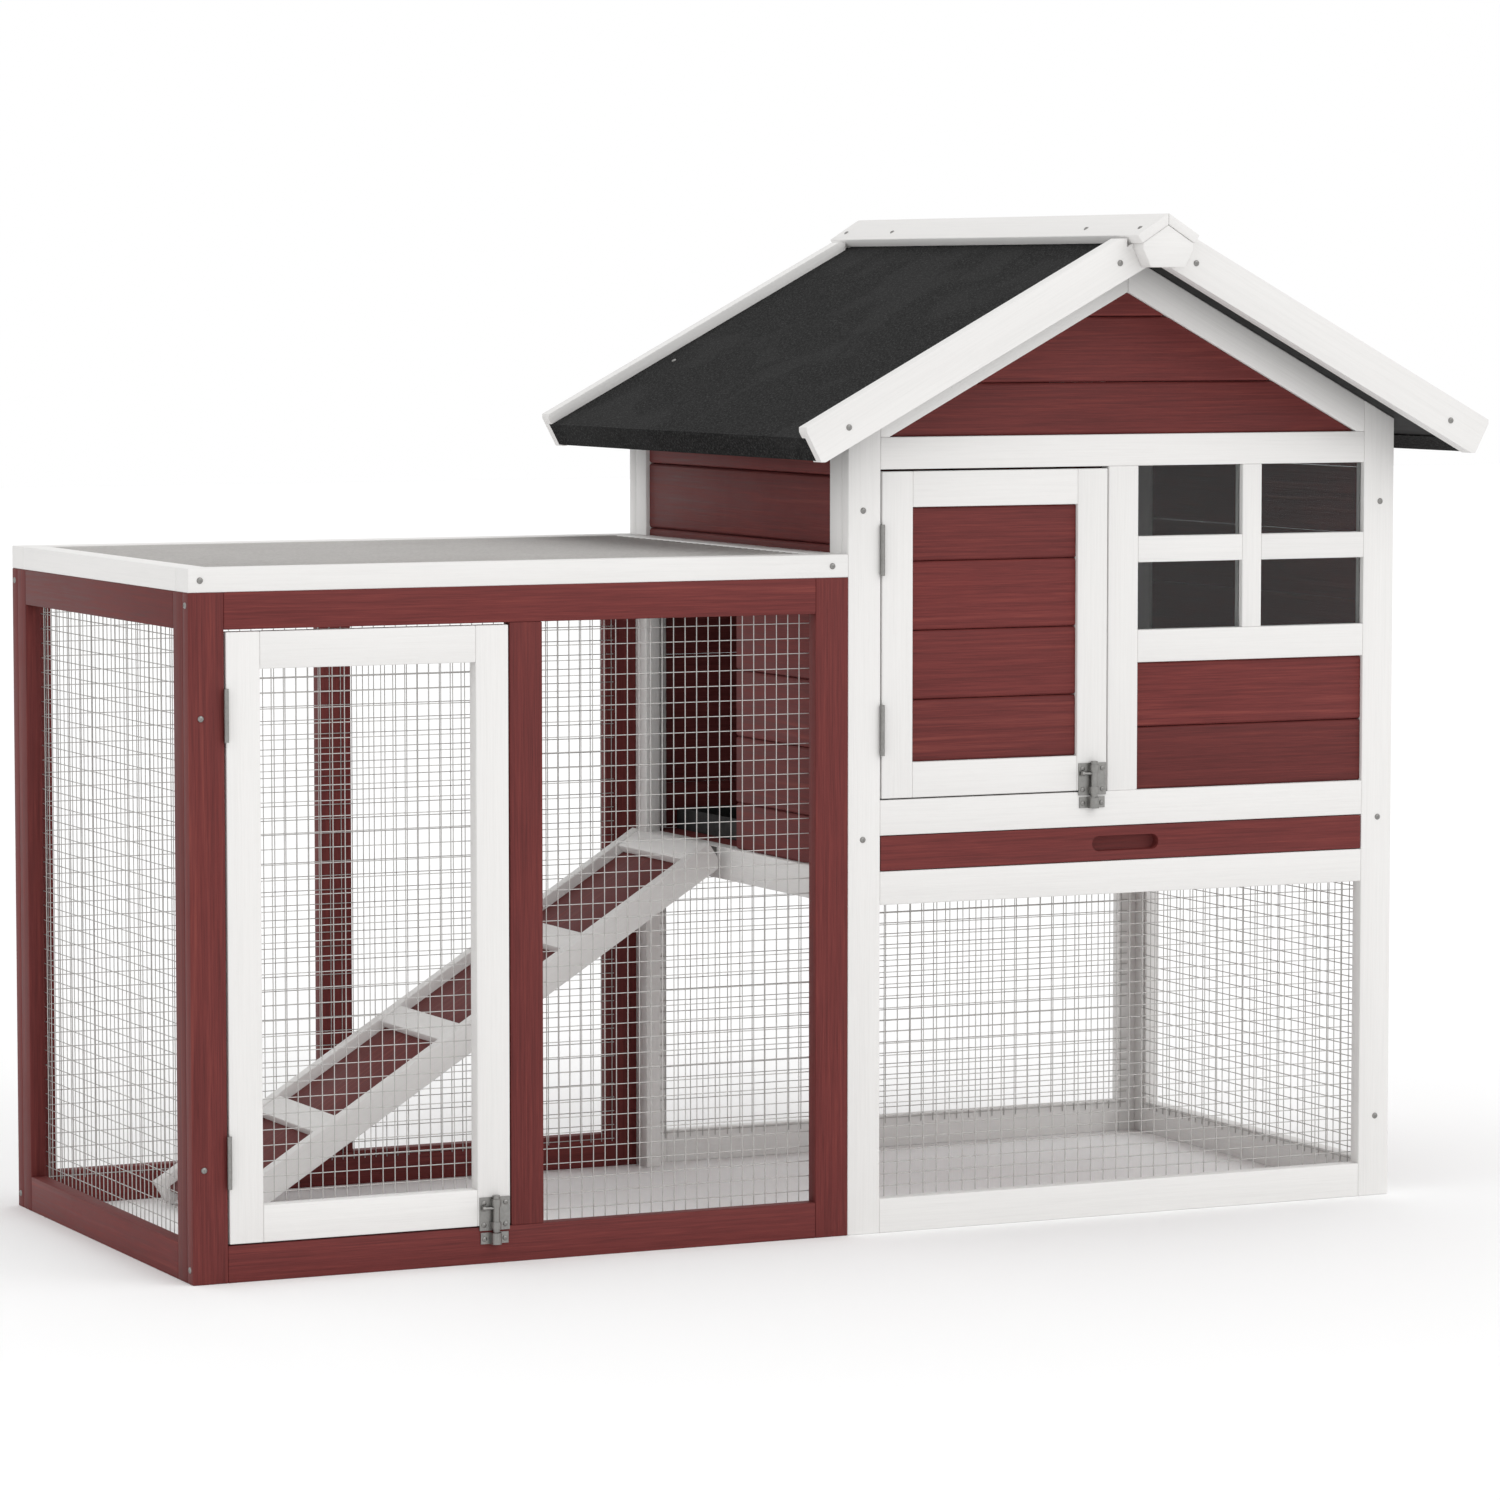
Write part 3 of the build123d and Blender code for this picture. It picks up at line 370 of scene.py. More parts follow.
@dataclass(frozen=True)
class Groups:
    """The shader groups that several finishes share."""

    grain: bpy.types.NodeTree
    marks: bpy.types.NodeTree

    @classmethod
    def build(cls) -> "Groups":
        """Build every group once.

        Returns:
            The groups.
        """
        return cls(build_grain_group(GrainPattern()), build_handling_group(MarkPattern()))


# ------------------------------------------------------------------ finishes
@dataclass(frozen=True)
class Finish:
    """A material for one slot."""

    name: str
    slot: Slot

    def make(self, groups: Groups) -> bpy.types.Material:
        """Build the material.

        Args:
            groups: Shared shader groups.

        Returns:
            The material.
        """
        material = bpy.data.materials.new(self.name)
        material.use_nodes = True
        bench = Bench(material.node_tree)
        shader = material.node_tree.nodes["Principled BSDF"]
        self.wire(bench, shader, groups)
        return material

    def wire(self, bench: Bench, shader: bpy.types.Node, groups: Groups) -> None:
        """Join the finish's nodes to its shader.

        Args:
            bench: The material's bench.
            shader: The material's Principled shader.
            groups: Shared shader groups.
        """
        raise NotImplementedError

    @staticmethod
    def use(bench: Bench, group: bpy.types.NodeTree, place: bpy.types.NodeSocket) -> bpy.types.Node:
        """Place a shared group fed with coordinates.

        Args:
            bench: The bench to place it on.
            group: The shared group.
            place: Coordinates.

        Returns:
            The group's node.
        """
        node = bench.add("Group", node_tree=group)
        bench.join(place, node.inputs["Place"])
        return node

    @staticmethod
    def relief(
        bench: Bench, shader: bpy.types.Node, height: bpy.types.NodeSocket, strength: float,
        depth: float,
    ) -> None:
        """Feed a height into the shader's normal through a Bump node.

        Args:
            bench: The material's bench.
            shader: The material's Principled shader.
            height: The height.
            strength: The bump's strength.
            depth: The bump's distance in metres.
        """
        bump = bench.add("Bump")
        bump.inputs["Strength"].default_value = strength
        bump.inputs["Distance"].default_value = depth
        bench.join(height, bump.inputs["Height"])
        bench.join(bump.outputs[0], shader.inputs["Normal"])


@dataclass(frozen=True)
class Timber(Finish):
    """Wood under stain or paint, its grain running along each board."""

    dark: Colour
    middle: Colour
    light: Colour
    knots: Colour
    rough: tuple[float, float]
    relief_depth: float
    along: float = 0.06
    figure: float = 0.26
    gloss: float = 0.25
    tone: float = 0.12
    end: float = 0.75
    stops: tuple[float, float, float] = (0.30, 0.54, 0.95)
    knot_strength: float = 0.7
    tone_lift: float = 0.4
    fibre_range: tuple[float, float] = (0.3, 0.7)
    wear: float = 0.12
    relief_strength: float = 0.55

    def wire(self, bench: Bench, shader: bpy.types.Node, groups: Groups) -> None:
        """Join grain, tone and relief.

        Args:
            bench: The material's bench.
            shader: The material's Principled shader.
            groups: Shared shader groups.
        """
        place = bench.add("Attribute", attribute_name=GRAIN_PLACE).outputs["Vector"]
        tone = bench.add("Attribute", attribute_name=BOARD_TONE).outputs["Fac"]
        end = bench.add("Attribute", attribute_name=END_GRAIN).outputs["Fac"]
        grain = self.use(bench, groups.grain, place)
        grain.inputs["Along"].default_value = self.along
        grain.inputs["Across"].default_value = 1.0
        ramp = bench.add("ValToRGB")
        stops = ramp.color_ramp.elements
        stops[0].position = self.stops[0]
        stops[0].color = (*self.dark, 1.0)
        stops[1].position = self.stops[2]
        stops[1].color = (*self.light, 1.0)
        centre = stops.new(self.stops[1])
        centre.color = (*self.middle, 1.0)
        value = bench.maths(
            "ADD",
            bench.maths("MULTIPLY", grain.outputs["Figure"], self.figure),
            grain.outputs["Fibre"],
        )
        bench.join(value, ramp.inputs[0])
        knotted = bench.blend(
            bench.maths("MULTIPLY", grain.outputs["Knot"], self.knot_strength), ramp.outputs[0],
            self.knots,
        )
        lifted = 1.0 + self.tone * self.tone_lift
        shade = bench.spread(tone, 0.0, 1.0, 1.0 - self.tone, lifted)
        grey = bench.add("CombineColor")
        bench.join(shade, *grey.inputs[:3])
        toned = bench.blend(1.0, knotted, grey.outputs[0], "MULTIPLY")
        ended = bench.blend(
            bench.maths("MULTIPLY", end, 1.0 - self.end), toned, self.dark
        )
        marks = self.use(bench, groups.marks, place)
        marks.inputs["Scale"].default_value = 1.0
        bench.join(ended, shader.inputs["Base Color"])
        low, high = self.rough
        worn = bench.maths("MULTIPLY", marks.outputs[0], self.wear)
        fibrous = bench.spread(grain.outputs["Fibre"], *self.fibre_range, low, high)
        bench.join(bench.maths("ADD", fibrous, worn), shader.inputs["Roughness"])
        shader.inputs["Specular IOR Level"].default_value = self.gloss
        self.relief(bench, shader, value, self.relief_strength, self.relief_depth)


@dataclass(frozen=True)
class Felt(Finish):
    """Mineral roofing felt with fine grit."""

    dark: Colour
    light: Colour

    rough: tuple[float, float] = (0.82, 0.98)
    grit_scale: float = 520.0
    speck_range: tuple[float, float] = (0.46, 0.72)
    grit_range: tuple[float, float] = (0.3, 0.7)
    patch_scale: float = 35.0
    patch_range: tuple[float, float] = (0.35, 0.7)
    patch_share: float = 0.03
    marks_scale: float = 2.0
    gloss: float = 0.15
    relief_strength: float = 0.6
    relief_depth: float = 0.0005

    def wire(self, bench: Bench, shader: bpy.types.Node, groups: Groups) -> None:
        """Join grit to colour and relief.

        Args:
            bench: The material's bench.
            shader: The material's Principled shader.
            groups: Shared shader groups.
        """
        place = bench.add("TexCoord").outputs["Object"]
        grit = bench.noise(place, self.grit_scale, 2.0)
        patches = bench.noise(place, self.patch_scale, 4.0, 0.3)
        marks = self.use(bench, groups.marks, place)
        marks.inputs["Scale"].default_value = self.marks_scale
        speck = bench.spread(grit, *self.speck_range, 0.0, 1.0)
        colour = bench.blend(speck, self.dark, self.light)
        patchy = bench.spread(patches, *self.patch_range, 0.0, self.patch_share)
        shade = bench.blend(patchy, colour, self.light)
        bench.join(shade, shader.inputs["Base Color"])
        gritty = bench.spread(grit, *self.grit_range, *self.rough)
        bench.join(bench.maths("ADD", gritty, marks.outputs[0]), shader.inputs["Roughness"])
        shader.inputs["Specular IOR Level"].default_value = self.gloss
        self.relief(bench, shader, grit, self.relief_strength, self.relief_depth)


@dataclass(frozen=True)
class Metal(Finish):
    """Zinc or galvanised steel with a faint mottle."""

    dark: Colour
    light: Colour
    rough: tuple[float, float]
    scale: float
    metallic: float = 1.0
    mottle_range: tuple[float, float] = (0.3, 0.7)
    marks_scale: float = 4.0
    wear: float = 0.2
    relief_strength: float = 0.2
    relief_depth: float = 0.0002

    def wire(self, bench: Bench, shader: bpy.types.Node, groups: Groups) -> None:
        """Join the mottle to colour, roughness and relief.

        Args:
            bench: The material's bench.
            shader: The material's Principled shader.
            groups: Shared shader groups.
        """
        place = bench.add("TexCoord").outputs["Object"]
        value = bench.noise(place, self.scale, 3.0, 0.2)
        marks = self.use(bench, groups.marks, place)
        marks.inputs["Scale"].default_value = self.marks_scale
        colour = bench.blend(value, self.dark, self.light)
        bench.join(colour, shader.inputs["Base Color"])
        shader.inputs["Metallic"].default_value = self.metallic
        low, high = self.rough
        worn = bench.maths("MULTIPLY", marks.outputs[0], self.wear)
        mottled = bench.spread(value, *self.mottle_range, low, high)
        bench.join(bench.maths("ADD", mottled, worn), shader.inputs["Roughness"])
        self.relief(bench, shader, value, self.relief_strength, self.relief_depth)


@dataclass(frozen=True)
class Moulding(Finish):
    """Moulded plastic with a fine spark texture."""

    dark: Colour
    light: Colour
    rough: tuple[float, float] = (0.45, 0.6)
    spark_scale: float = 1400.0
    spark_range: tuple[float, float] = (0.3, 0.7)
    marks_scale: float = 2.0
    relief_strength: float = 0.3
    relief_depth: float = 0.0002

    def wire(self, bench: Bench, shader: bpy.types.Node, groups: Groups) -> None:
        """Join the texture to colour, roughness and relief.

        Args:
            bench: The material's bench.
            shader: The material's Principled shader.
            groups: Shared shader groups.
        """
        place = bench.add("TexCoord").outputs["Object"]
        spark = bench.noise(place, self.spark_scale, 2.0)
        marks = self.use(bench, groups.marks, place)
        marks.inputs["Scale"].default_value = self.marks_scale
        bench.join(bench.blend(spark, self.dark, self.light), shader.inputs["Base Color"])
        sparked = bench.spread(spark, *self.spark_range, *self.rough)
        bench.join(bench.maths("ADD", sparked, marks.outputs[0]), shader.inputs["Roughness"])
        self.relief(bench, shader, spark, self.relief_strength, self.relief_depth)


@dataclass(frozen=True)
class ClearSheet(Finish):
    """Clear acrylic with a trace of dust."""

    tint: Colour = (0.93, 0.95, 0.95)
    refraction: float = 1.3
    rough: tuple[float, float] = (0.02, 0.12)
    marks_scale: float = 3.0

    def wire(self, bench: Bench, shader: bpy.types.Node, groups: Groups) -> None:
        """Join dust to the roughness of a clear sheet.

        Args:
            bench: The material's bench.
            shader: The material's Principled shader.
            groups: Shared shader groups.
        """
        place = bench.add("TexCoord").outputs["Object"]
        marks = self.use(bench, groups.marks, place)
        marks.inputs["Scale"].default_value = self.marks_scale
        shader.inputs["Base Color"].default_value = (*self.tint, 1.0)
        shader.inputs["Transmission Weight"].default_value = 1.0
        shader.inputs["IOR"].default_value = self.refraction
        dusty = bench.spread(marks.outputs[0], 0.0, 1.0, *self.rough)
        bench.join(dusty, shader.inputs["Roughness"])


WHITE_PAINT = Timber(
    "white painted softwood", Slot.WHITE,
    dark=(0.731, 0.721, 0.708), middle=(0.764, 0.753, 0.740), light=(0.785, 0.774, 0.761),
    knots=(0.731, 0.718, 0.698), rough=(0.42, 0.6), relief_depth=0.0004, tone=0.02, end=0.6,
    figure=-0.10, gloss=0.35,
)
RED_STAIN = Timber(
    "red stained softwood", Slot.RED,
    dark=(0.090, 0.0142, 0.0135), middle=(0.143, 0.0259, 0.0243), light=(0.25, 0.058, 0.045),
    knots=(0.045, 0.010, 0.009), rough=(0.5, 0.7), relief_depth=0.0006, tone=0.20,
    figure=0.27,
)
BLACK_PAINT = Timber(
    "black painted board", Slot.BLACK,
    dark=(0.012, 0.012, 0.012), middle=(0.018, 0.018, 0.018), light=(0.028, 0.028, 0.028),
    knots=(0.01, 0.01, 0.01), rough=(0.6, 0.8), relief_depth=0.0004,
)
PLAIN_WOOD = Timber(
    "bare softwood", Slot.PLAIN,
    dark=(0.38, 0.24, 0.13), middle=(0.52, 0.35, 0.20), light=(0.62, 0.45, 0.28),
    knots=(0.22, 0.12, 0.06), rough=(0.6, 0.8), relief_depth=0.0005,
)
ROOF_FELT = Felt(
    "mineral roofing felt", Slot.FELT, dark=(0.006, 0.006, 0.006), light=(0.044, 0.044, 0.044)
)
WIRE = Metal(
    "galvanised wire", Slot.WIRE, (0.41, 0.40, 0.388), (0.59, 0.578, 0.562), (0.38, 0.55), 250.0,
    metallic=0.7,
)
# The tray pan is black so that the house interior reads dark through the doorway: this black is
# painted shade, not the pan's own colour.
PLASTIC = Moulding(
    "black tray pan as painted shade", Slot.PLASTIC, (0.012, 0.012, 0.012), (0.022, 0.022, 0.022)
)
ZINC = Metal(
    "zinc plated steel", Slot.ZINC, (0.21, 0.206, 0.20), (0.36, 0.355, 0.34), (0.3, 0.48), 320.0
)
SCREW_ZINC = Metal(
    "zinc plated screws", Slot.ZINC, (0.21, 0.207, 0.20), (0.36, 0.353, 0.34), (0.28, 0.42),
    500.0,
)
CLEAR = ClearSheet("clear acrylic sheet", Slot.CLEAR)


@dataclass
class Dresser:
    """Gives pieces their finishes, building each material once."""

    groups: Groups
    made: dict[str, bpy.types.Material] = field(default_factory=dict)

    def dress(self, piece: bpy.types.Object, finish: Finish) -> None:
        """Give a piece one finish.

        Args:
            piece: The object to dress.
            finish: Its finish.
        """
        if finish.name not in self.made:
            self.made[finish.name] = finish.make(self.groups)
        piece.data.materials.clear()
        piece.data.materials.append(self.made[finish.name])


# ------------------------------------------------------------ shaping helpers
def select_only(*pieces: bpy.types.Object) -> None:
    """Deselect everything, then select these and make the first active.

    Args:
        pieces: The objects to select.
    """
    for other in bpy.context.selected_objects:
        other.select_set(False)
    for piece in pieces:
        piece.select_set(True)
    bpy.context.view_layer.objects.active = pieces[0]


def settle(piece: bpy.types.Object) -> None:
    """Put a piece's place into its mesh.

    Args:
        piece: The object.
    """
    select_only(piece)
    bpy.ops.object.transform_apply(location=True, rotation=True, scale=True)


def finish_modifier(piece: bpy.types.Object, kind: str, **settings: object) -> None:
    """Add a modifier and apply it.

    Args:
        piece: The object.
        kind: The modifier's type.
        settings: Its properties.
    """
    select_only(piece)
    modifier = piece.modifiers.new(kind.title(), kind)
    for name, value in settings.items():
        setattr(modifier, name, value)
    bpy.ops.object.modifier_apply(modifier=modifier.name)


def board_labels(mesh: bpy.types.Mesh) -> np.ndarray:
    """Label the connected boards of a mesh.

    Args:
        mesh: A mesh of separate closed boards.

    Returns:
        One label for each vertex.
    """
    edges = np.empty(len(mesh.edges) * 2, dtype=np.int64)
    mesh.edges.foreach_get("vertices", edges)
    pairs = edges.reshape(-1, 2)
    labels = np.arange(len(mesh.vertices))
    while True:
        lowest = np.minimum(labels[pairs[:, 0]], labels[pairs[:, 1]])
        updated = labels.copy()
        np.minimum.at(updated, pairs[:, 0], lowest)
        np.minimum.at(updated, pairs[:, 1], lowest)
        if np.array_equal(updated, labels):
            return labels
        labels = updated


def mark_boards(piece: bpy.types.Object, seed: int) -> None:
    """Store each board's own grain coordinates, tone and end grain.

    Args:
        piece: A mesh of separate boards.
        seed: Seed for tones and offsets.
    """
    mesh = piece.data
    chance = np.random.default_rng(seed)
    points = np.empty(len(mesh.vertices) * 3)
    mesh.vertices.foreach_get("co", points)
    points = points.reshape(-1, 3)
    labels = board_labels(mesh)
    place = np.zeros_like(points)
    tone = np.zeros(len(points))
    lengthwise: dict[int, np.ndarray] = {}
    for label in np.unique(labels):
        mask = labels == label
        centred = points[mask] - points[mask].mean(axis=0)
        axes = np.linalg.svd(centred, full_matrices=False)[2]
        lengthwise[int(label)] = axes[0]
        place[mask] = centred @ axes.T + chance.uniform(-GRAIN_SHIFT, GRAIN_SHIFT, 3)
        tone[mask] = chance.random()
    stored = mesh.attributes.new(GRAIN_PLACE, "FLOAT_VECTOR", "POINT")
    stored.data.foreach_set("vector", place.astype(np.float32).ravel())
    stored = mesh.attributes.new(BOARD_TONE, "FLOAT", "POINT")
    stored.data.foreach_set("value", tone.astype(np.float32))
    ends = [
        float(abs(face.normal.dot(Vector(lengthwise[int(labels[face.vertices[0]])]))) > END_FACING)
        for face in mesh.polygons
    ]
    stored = mesh.attributes.new(END_GRAIN, "FLOAT", "FACE")
    stored.data.foreach_set("value", np.array(ends, dtype=np.float32))


def eased_copy(node: str, name: str, radius: float, seed: int) -> bpy.types.Object:
    """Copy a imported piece, ease its edges and let the copy stand for it.

    Args:
        node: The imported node.
        name: The new piece's name.
        radius: Width of the eased edge in metres.
        seed: Seed for its boards' tones.

    Returns:
        The new piece.
    """
    source = frame["nodes"][node]
    piece = bpy.data.objects.new(name, source.data.copy())
    bpy.context.scene.collection.objects.link(piece)
    piece.data.name = name
    select_only(piece)
    bpy.ops.object.mode_set(mode="EDIT")
    bpy.ops.mesh.select_all(action="SELECT")
    bpy.ops.mesh.remove_doubles(threshold=DOUBLES)
    bpy.ops.mesh.dissolve_limited(angle_limit=radians(FLAT_ANGLE))
    bpy.ops.mesh.normals_make_consistent(inside=False)
    bpy.ops.object.mode_set(mode="OBJECT")
    if radius > 0:
        finish_modifier(
            piece, "BEVEL", width=radius, segments=BEVEL_SEGMENTS, limit_method="ANGLE",
            angle_limit=radians(BEVEL_ANGLE),
        )
    select_only(piece)
    bpy.ops.object.shade_smooth_by_angle(angle=radians(TIMBER_SMOOTH))
    mark_boards(piece, seed)
    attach(piece, source["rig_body"])
    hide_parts(node)
    return piece


# ------------------------------------------------------------- sub-assemblies
@dataclass
class SubAssembly:
    """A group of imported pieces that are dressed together."""

    dresser: Dresser
    timber: dict[str, Finish] = field(default_factory=dict)
    metal: dict[str, Finish] = field(default_factory=dict)
    eased: float = 0.0009
    built: list[tuple[bpy.types.Object, Finish]] = field(default_factory=list)

    def build(self) -> None:
        """Shape the timber and queue every piece for dressing."""
        for step, (node, finish) in enumerate(self.timber.items()):
            seed = SEED + step * SEED_STEP + len(node)
            piece = eased_copy(node, node + "_timber", self.eased, seed)
            self.built.append((piece, finish))
        for node, finish in self.metal.items():
            self.built.append((frame["nodes"][node], finish))

    def dress(self) -> None:
        """Give each piece its finish and report it."""
        for piece, finish in self.built:
            self.dresser.dress(piece, finish)
            log.info("%s in %s", piece.name, finish.name)


@dataclass
class ScrewSet:
    """Cross-recessed heads over every packed screw of one node."""

    node: str
    finish: Finish
    turn: float = 25.0
    rise: float = 0.26
    slot_width: float = 0.17
    slot_reach: float = 0.62
    recess: float = 0.6
    segments: int = 20
    rings: int = 12
    flat_facing: float = 0.999

    def model_head(self) -> bpy.types.Object:
        """Shape one head of unit radius, its seat on the ground and its top up.

        Returns:
            The head, to be copied.
        """
        bpy.ops.object.select_all(action="DESELECT")
        bpy.ops.mesh.primitive_uv_sphere_add(
            segments=self.segments, ring_count=self.rings, radius=1.0
        )
        head = bpy.context.active_object
        head.name = self.node + "_pattern"
        bpy.ops.object.mode_set(mode="EDIT")
        bpy.ops.mesh.select_all(action="SELECT")
        bpy.ops.mesh.bisect(
            plane_co=(0.0, 0.0, 0.0), plane_no=(0.0, 0.0, 1.0), use_fill=True, clear_inner=True
        )
        bpy.ops.mesh.select_all(action="SELECT")
        bpy.ops.transform.resize(value=(1.0, 1.0, 2.0 * self.rise), center_override=(0.0, 0.0, 0.0))
        bpy.ops.object.mode_set(mode="OBJECT")
        for angle in (0.0, 90.0):
            bpy.ops.object.select_all(action="DESELECT")
            bpy.ops.mesh.primitive_cube_add(
                size=1.0, location=(0.0, 0.0, 2.0 * self.rise), rotation=(0.0, 0.0, radians(angle)),
            )
            cutter = bpy.context.active_object
            cutter.scale = (2.0 * self.slot_reach, self.slot_width, 2.0 * self.rise * self.recess)
            settle(cutter)
            finish_modifier(head, "BOOLEAN", operation="DIFFERENCE", object=cutter)
            bpy.data.objects.remove(cutter)
        return head

    def build(self) -> bpy.types.Object:
        """Copy the head onto every packed screw and join the copies.

        Returns:
            All the heads as one piece.
        """
        head = self.model_head()
        chance = np.random.default_rng(SEED + len(self.node))
        source = frame["nodes"][self.node].data
        lookup = source.copy()
        probe = bpy.data.objects.new(self.node + "_probe", lookup)
        bpy.context.scene.collection.objects.link(probe)
        select_only(probe)
        bpy.ops.object.mode_set(mode="EDIT")
        bpy.ops.mesh.select_all(action="SELECT")
        bpy.ops.mesh.remove_doubles(threshold=DOUBLES)
        bpy.ops.mesh.normals_make_consistent(inside=False)
        bpy.ops.object.mode_set(mode="OBJECT")
        points = np.array([vertex.co for vertex in lookup.vertices])
        labels = board_labels(lookup)
        heads: list[bpy.types.Object] = []
        for label in np.unique(labels):
            faces = [face for face in lookup.polygons if labels[face.vertices[0]] == label]
            seat = max(faces, key=lambda face: face.area)
            flat = [face for face in faces if face.normal.dot(seat.normal) > self.flat_facing]
            rim = points[sorted({corner for face in flat for corner in face.vertices})]
            middle = Vector(rim.mean(axis=0))
            radius = float(np.linalg.norm(rim - rim.mean(axis=0), axis=1).max())
            copy = bpy.data.objects.new(self.node + "_head", head.data.copy())
            bpy.context.scene.collection.objects.link(copy)
            copy.rotation_mode = "QUATERNION"
            spin = Quaternion((0.0, 0.0, 1.0), chance.uniform(0.0, radians(90.0)))
            copy.rotation_quaternion = (-seat.normal).to_track_quat("Z", "Y") @ spin
            copy.location = middle
            copy.scale = (radius, radius, radius)
            heads.append(copy)
        bpy.data.objects.remove(probe)
        bpy.data.objects.remove(head)
        select_only(*heads)
        bpy.ops.object.transform_apply(location=True, rotation=True, scale=True)
        bpy.ops.object.join()
        piece = heads[0]
        piece.name = self.node + "_heads"
        select_only(piece)
        bpy.ops.object.shade_smooth_by_angle(angle=radians(HEAD_SMOOTH))
        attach(piece, frame["nodes"][self.node]["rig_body"])
        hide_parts(self.node)
        return piece


@dataclass
class Fixings(SubAssembly):
    """Every set of screws."""

    sets: tuple[ScrewSet, ...] = ()

    def build(self) -> None:
        """Model each set."""
        for group in self.sets:
            self.built.append((group.build(), group.finish))


@dataclass
class WireSheet:
    """Welded wire over one packed sheet, woven at its real pitch."""

    node: str
    facing: Axis
    pitch: tuple[float, float]
    inward: int
    gauge: float = 0.00098
    sides: int = 6
    near_share: float = 0.55
    far_share: float = 0.85

    def strands(self, along: int, across: int, depth: float, pitch: float) -> bpy.types.Object:
        """Make one direction's parallel wires.

        Args:
            along: Axis index the wires run along.
            across: Axis index they repeat along.
            depth: Place of the wires' centres on the facing axis.
            pitch: Distance between wires.

        Returns:
            All the wires of that direction as one object.
        """
        low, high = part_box(self.node)
        span = high[across] - low[across] - self.gauge
        gaps = int(span // pitch)
        start = low[across] + self.gauge / 2 + (span - gaps * pitch) / 2
        place = [0.0, 0.0, 0.0]
        place[self.facing.value] = depth
        place[along] = (low[along] + high[along]) / 2
        place[across] = start
        turn = {0: (0.0, radians(90), 0.0), 1: (radians(90), 0.0, 0.0), 2: (0.0, 0.0, 0.0)}
        bpy.ops.object.select_all(action="DESELECT")
        bpy.ops.mesh.primitive_cylinder_add(
            vertices=self.sides, radius=self.gauge / 2, depth=high[along] - low[along],
            location=place, rotation=turn[along],
        )
        wire = bpy.context.active_object
        settle(wire)
        offset = [0.0, 0.0, 0.0]
        offset[across] = pitch
        finish_modifier(
            wire, "ARRAY", count=gaps + 1, use_relative_offset=False,
            use_constant_offset=True, constant_offset_displace=offset,
        )
        return wire

    def build(self) -> bpy.types.Object:
        """Weave both directions, join them and let them stand for the sheet.

        Returns:
            The welded sheet.
        """
        low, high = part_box(self.node)
        face = self.facing.value
        first, second = [axis for axis in range(3) if axis != face]
        timber_face = low[face] if self.inward > 0 else high[face]
        near = timber_face + self.inward * self.gauge * self.near_share
        far = near + self.inward * self.gauge * self.far_share
        upright = self.strands(second, first, near, self.pitch[0])
        level = self.strands(first, second, far, self.pitch[1])
        select_only(upright, level)
        bpy.ops.object.join()
        upright.name = self.node + "_strands"
        select_only(upright)
        bpy.ops.object.shade_smooth_by_angle(angle=radians(WIRE_SMOOTH))
        settle(upright)
        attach(upright, frame["nodes"][self.node]["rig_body"])
        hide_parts(self.node)
        return upright


@dataclass
class WireWork(SubAssembly):
    """Every welded sheet of the hutch."""

    sheets: tuple[WireSheet, ...] = ()

    def build(self) -> None:
        """Weave each sheet."""
        for sheet in self.sheets:
            self.built.append((sheet.build(), WIRE))


# --------------------------------------------------------------------- studio
@dataclass(frozen=True)
class Studio:
    """Floor, lights and camera."""

    floor_size: float = 40.0
    floor_tone: Colour = (0.95, 0.95, 0.95)
    world_strength: float = 1.0
    sun_turn: tuple[float, float, float] = (52.0, 0.0, 28.0)
    sun_power: float = 0.62
    sun_spread: float = 50.0
    camera_place: tuple[float, float, float] = (-2.481, -5.3256, 0.9336)
    camera_turn: tuple[float, float, float] = (85.389, 0.0, -25.077)
    lens: float = 138.87
    sensor: float = 36.0

    def build_floor(self) -> None:
        """Lay a plain pale floor."""
        bpy.ops.object.select_all(action="DESELECT")
        bpy.ops.mesh.primitive_plane_add(size=self.floor_size, location=(0.0, 0.0, 0.0))
        floor = bpy.context.active_object
        floor.name = "studio_floor"
        material = bpy.data.materials.new("studio floor")
        material.use_nodes = True
        shader = material.node_tree.nodes["Principled BSDF"]
        shader.inputs["Base Color"].default_value = (*self.floor_tone, 1.0)
        shader.inputs["Roughness"].default_value = 0.9
        shader.inputs["Specular IOR Level"].default_value = 0.1
        floor.data.materials.append(material)

    def build_sun(self) -> None:
        """Hang one broad, soft lamp in front, to the right."""
        lamp = bpy.data.lights.new("soft_sun", "SUN")
        lamp.energy = self.sun_power
        lamp.angle = radians(self.sun_spread)
        holder = bpy.data.objects.new("soft_sun", lamp)
        bpy.context.scene.collection.objects.link(holder)
        holder.rotation_euler = tuple(radians(angle) for angle in self.sun_turn)

    def build(self) -> None:
        """Set up the floor, the world, the lamp and the camera."""
        self.build_floor()
        world = bpy.data.worlds.new("studio world")
        bpy.context.scene.world = world
        world.use_nodes = True
        backdrop = world.node_tree.nodes["Background"]
        backdrop.inputs[0].default_value = (1.0, 1.0, 1.0, 1.0)
        backdrop.inputs[1].default_value = self.world_strength
        self.build_sun()
        camera = bpy.data.cameras.new("studio_camera")
        camera.lens = self.lens
        camera.sensor_width = self.sensor
        holder = bpy.data.objects.new("studio_camera", camera)
        bpy.context.scene.collection.objects.link(holder)
        holder.location = self.camera_place
        holder.rotation_euler = tuple(radians(angle) for angle in self.camera_turn)
        bpy.context.scene.camera = holder
        bpy.context.scene.view_settings.view_transform = "Standard"


RUN_PITCH = (0.0122, 0.0147)
HOUSE_PITCH = (0.0145, 0.0118)


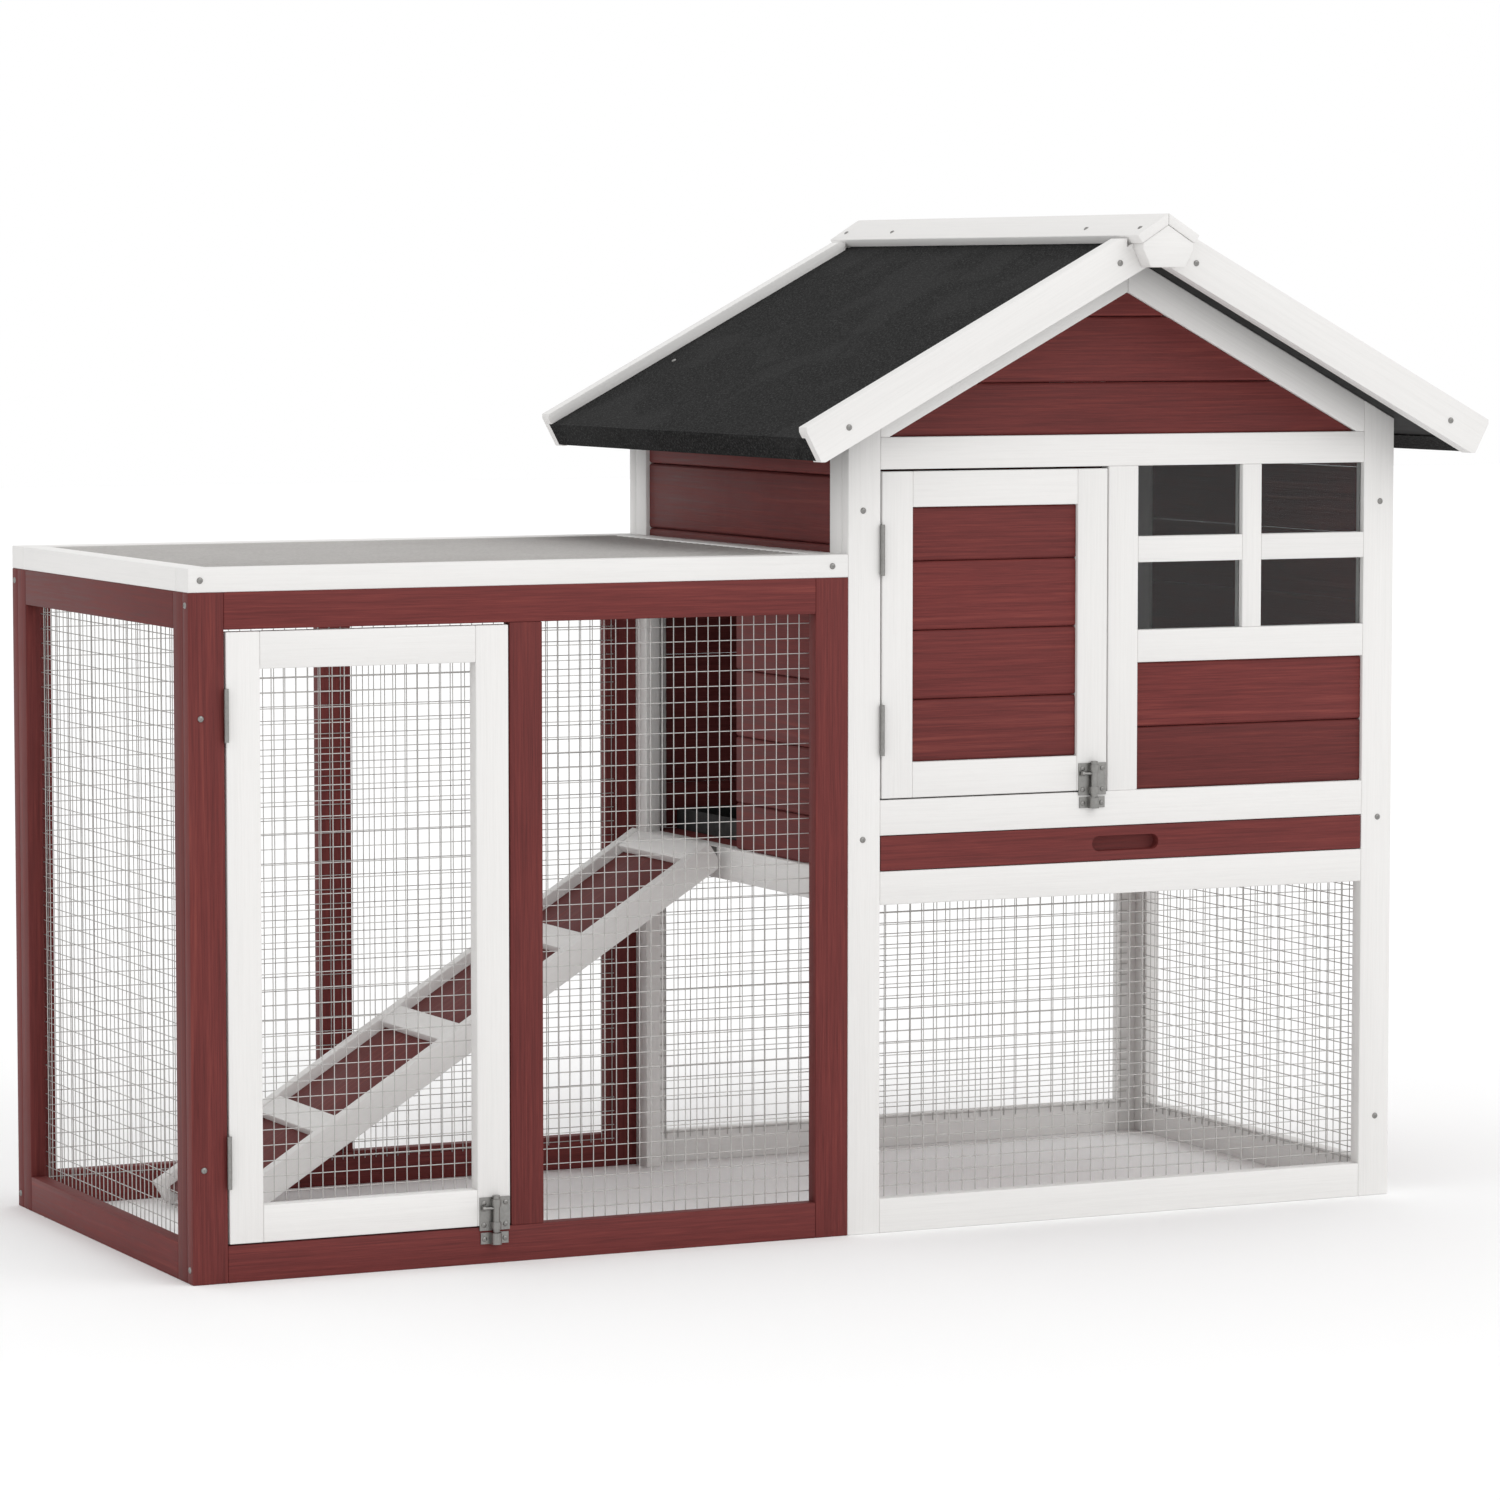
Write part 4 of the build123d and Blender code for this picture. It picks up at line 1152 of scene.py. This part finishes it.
def main() -> None:
    """Build and dress the hutch in order."""
    dresser = Dresser(Groups.build())
    assemblies = [
        SubAssembly(dresser, timber={
            "run_corner_stiles": RED_STAIN, "run_long_rails": RED_STAIN,
            "run_middle_posts": RED_STAIN, "run_end_stiles": RED_STAIN,
            "run_end_rails": RED_STAIN, "lid_long_boards": WHITE_PAINT,
            "lid_short_boards": WHITE_PAINT,
        }),
        SubAssembly(dresser, timber={
            "run_door_stiles": WHITE_PAINT, "run_door_rails": WHITE_PAINT,
            "house_door_stiles": WHITE_PAINT, "house_door_rails": WHITE_PAINT,
            "house_door_boards": RED_STAIN,
        }, metal={
            "run_door_hinge_leaves": ZINC, "run_door_bolt_plate": ZINC,
            "run_door_bolt": ZINC,
            "house_door_hinge_leaves": ZINC, "house_door_bolt_plate": ZINC,
            "house_door_bolt": ZINC,
        }),
        SubAssembly(dresser, timber={
            "house_corner_stiles": WHITE_PAINT, "house_front_rails": WHITE_PAINT,
            "house_back_rails": WHITE_PAINT, "house_middle_stile": WHITE_PAINT,
            "gable_rafters": WHITE_PAINT, "house_side_stiles": WHITE_PAINT,
            "house_side_rails": WHITE_PAINT, "window_upright": WHITE_PAINT,
            "window_crossbars": WHITE_PAINT, "gable_boards": RED_STAIN,
            "front_panel_boards": RED_STAIN, "house_wall_boards": RED_STAIN,
            "floor_deck": RED_STAIN, "floor_ledgers": PLAIN_WOOD,
        }, metal={
            "window_panes": CLEAR, "post_hinge_leaves": ZINC, "hinge_pins": ZINC,
            "bolt_keepers": ZINC, "ramp_hangers": ZINC,
        }),
        SubAssembly(dresser, timber={
            "bargeboards": WHITE_PAINT, "ridge_caps": WHITE_PAINT,
            "ridge_plates": WHITE_PAINT, "roof_boards": BLACK_PAINT,
        }, metal={"roof_felt": ROOF_FELT}),
        # The pan's black stands in for the shade inside the house: painted shade.
        SubAssembly(dresser, timber={"tray_front": RED_STAIN}, metal={"tray_pan": PLASTIC}),
        SubAssembly(dresser, timber={
            "ramp_rails": WHITE_PAINT, "ramp_deck": RED_STAIN, "ramp_battens": WHITE_PAINT,
        }, metal={"ramp_hooks": ZINC}),
        Fixings(dresser, sets=tuple(
            ScrewSet(node, SCREW_ZINC)
            for node in (
                "frame_screws", "roof_screws", "run_door_plate_screws", "house_door_plate_screws"
            )
        )),
        WireWork(dresser, sheets=(
            WireSheet("run_front_wire", Axis.Y, RUN_PITCH, 1),
            WireSheet("run_door_wire", Axis.Y, RUN_PITCH, 1),
            WireSheet("run_end_wire", Axis.X, RUN_PITCH, 1),
            WireSheet("run_back_wire", Axis.Y, RUN_PITCH, -1),
            WireSheet("lid_wire", Axis.Z, RUN_PITCH, 1),
            WireSheet("house_front_wire", Axis.Y, HOUSE_PITCH, 1),
            WireSheet("house_back_wire", Axis.Y, HOUSE_PITCH, -1),
            WireSheet("house_right_wire", Axis.X, HOUSE_PITCH, -1),
        )),
    ]
    for assembly in assemblies:
        assembly.build()
        assembly.dress()
    Studio().build()


if __name__ == "__main__":
    main()
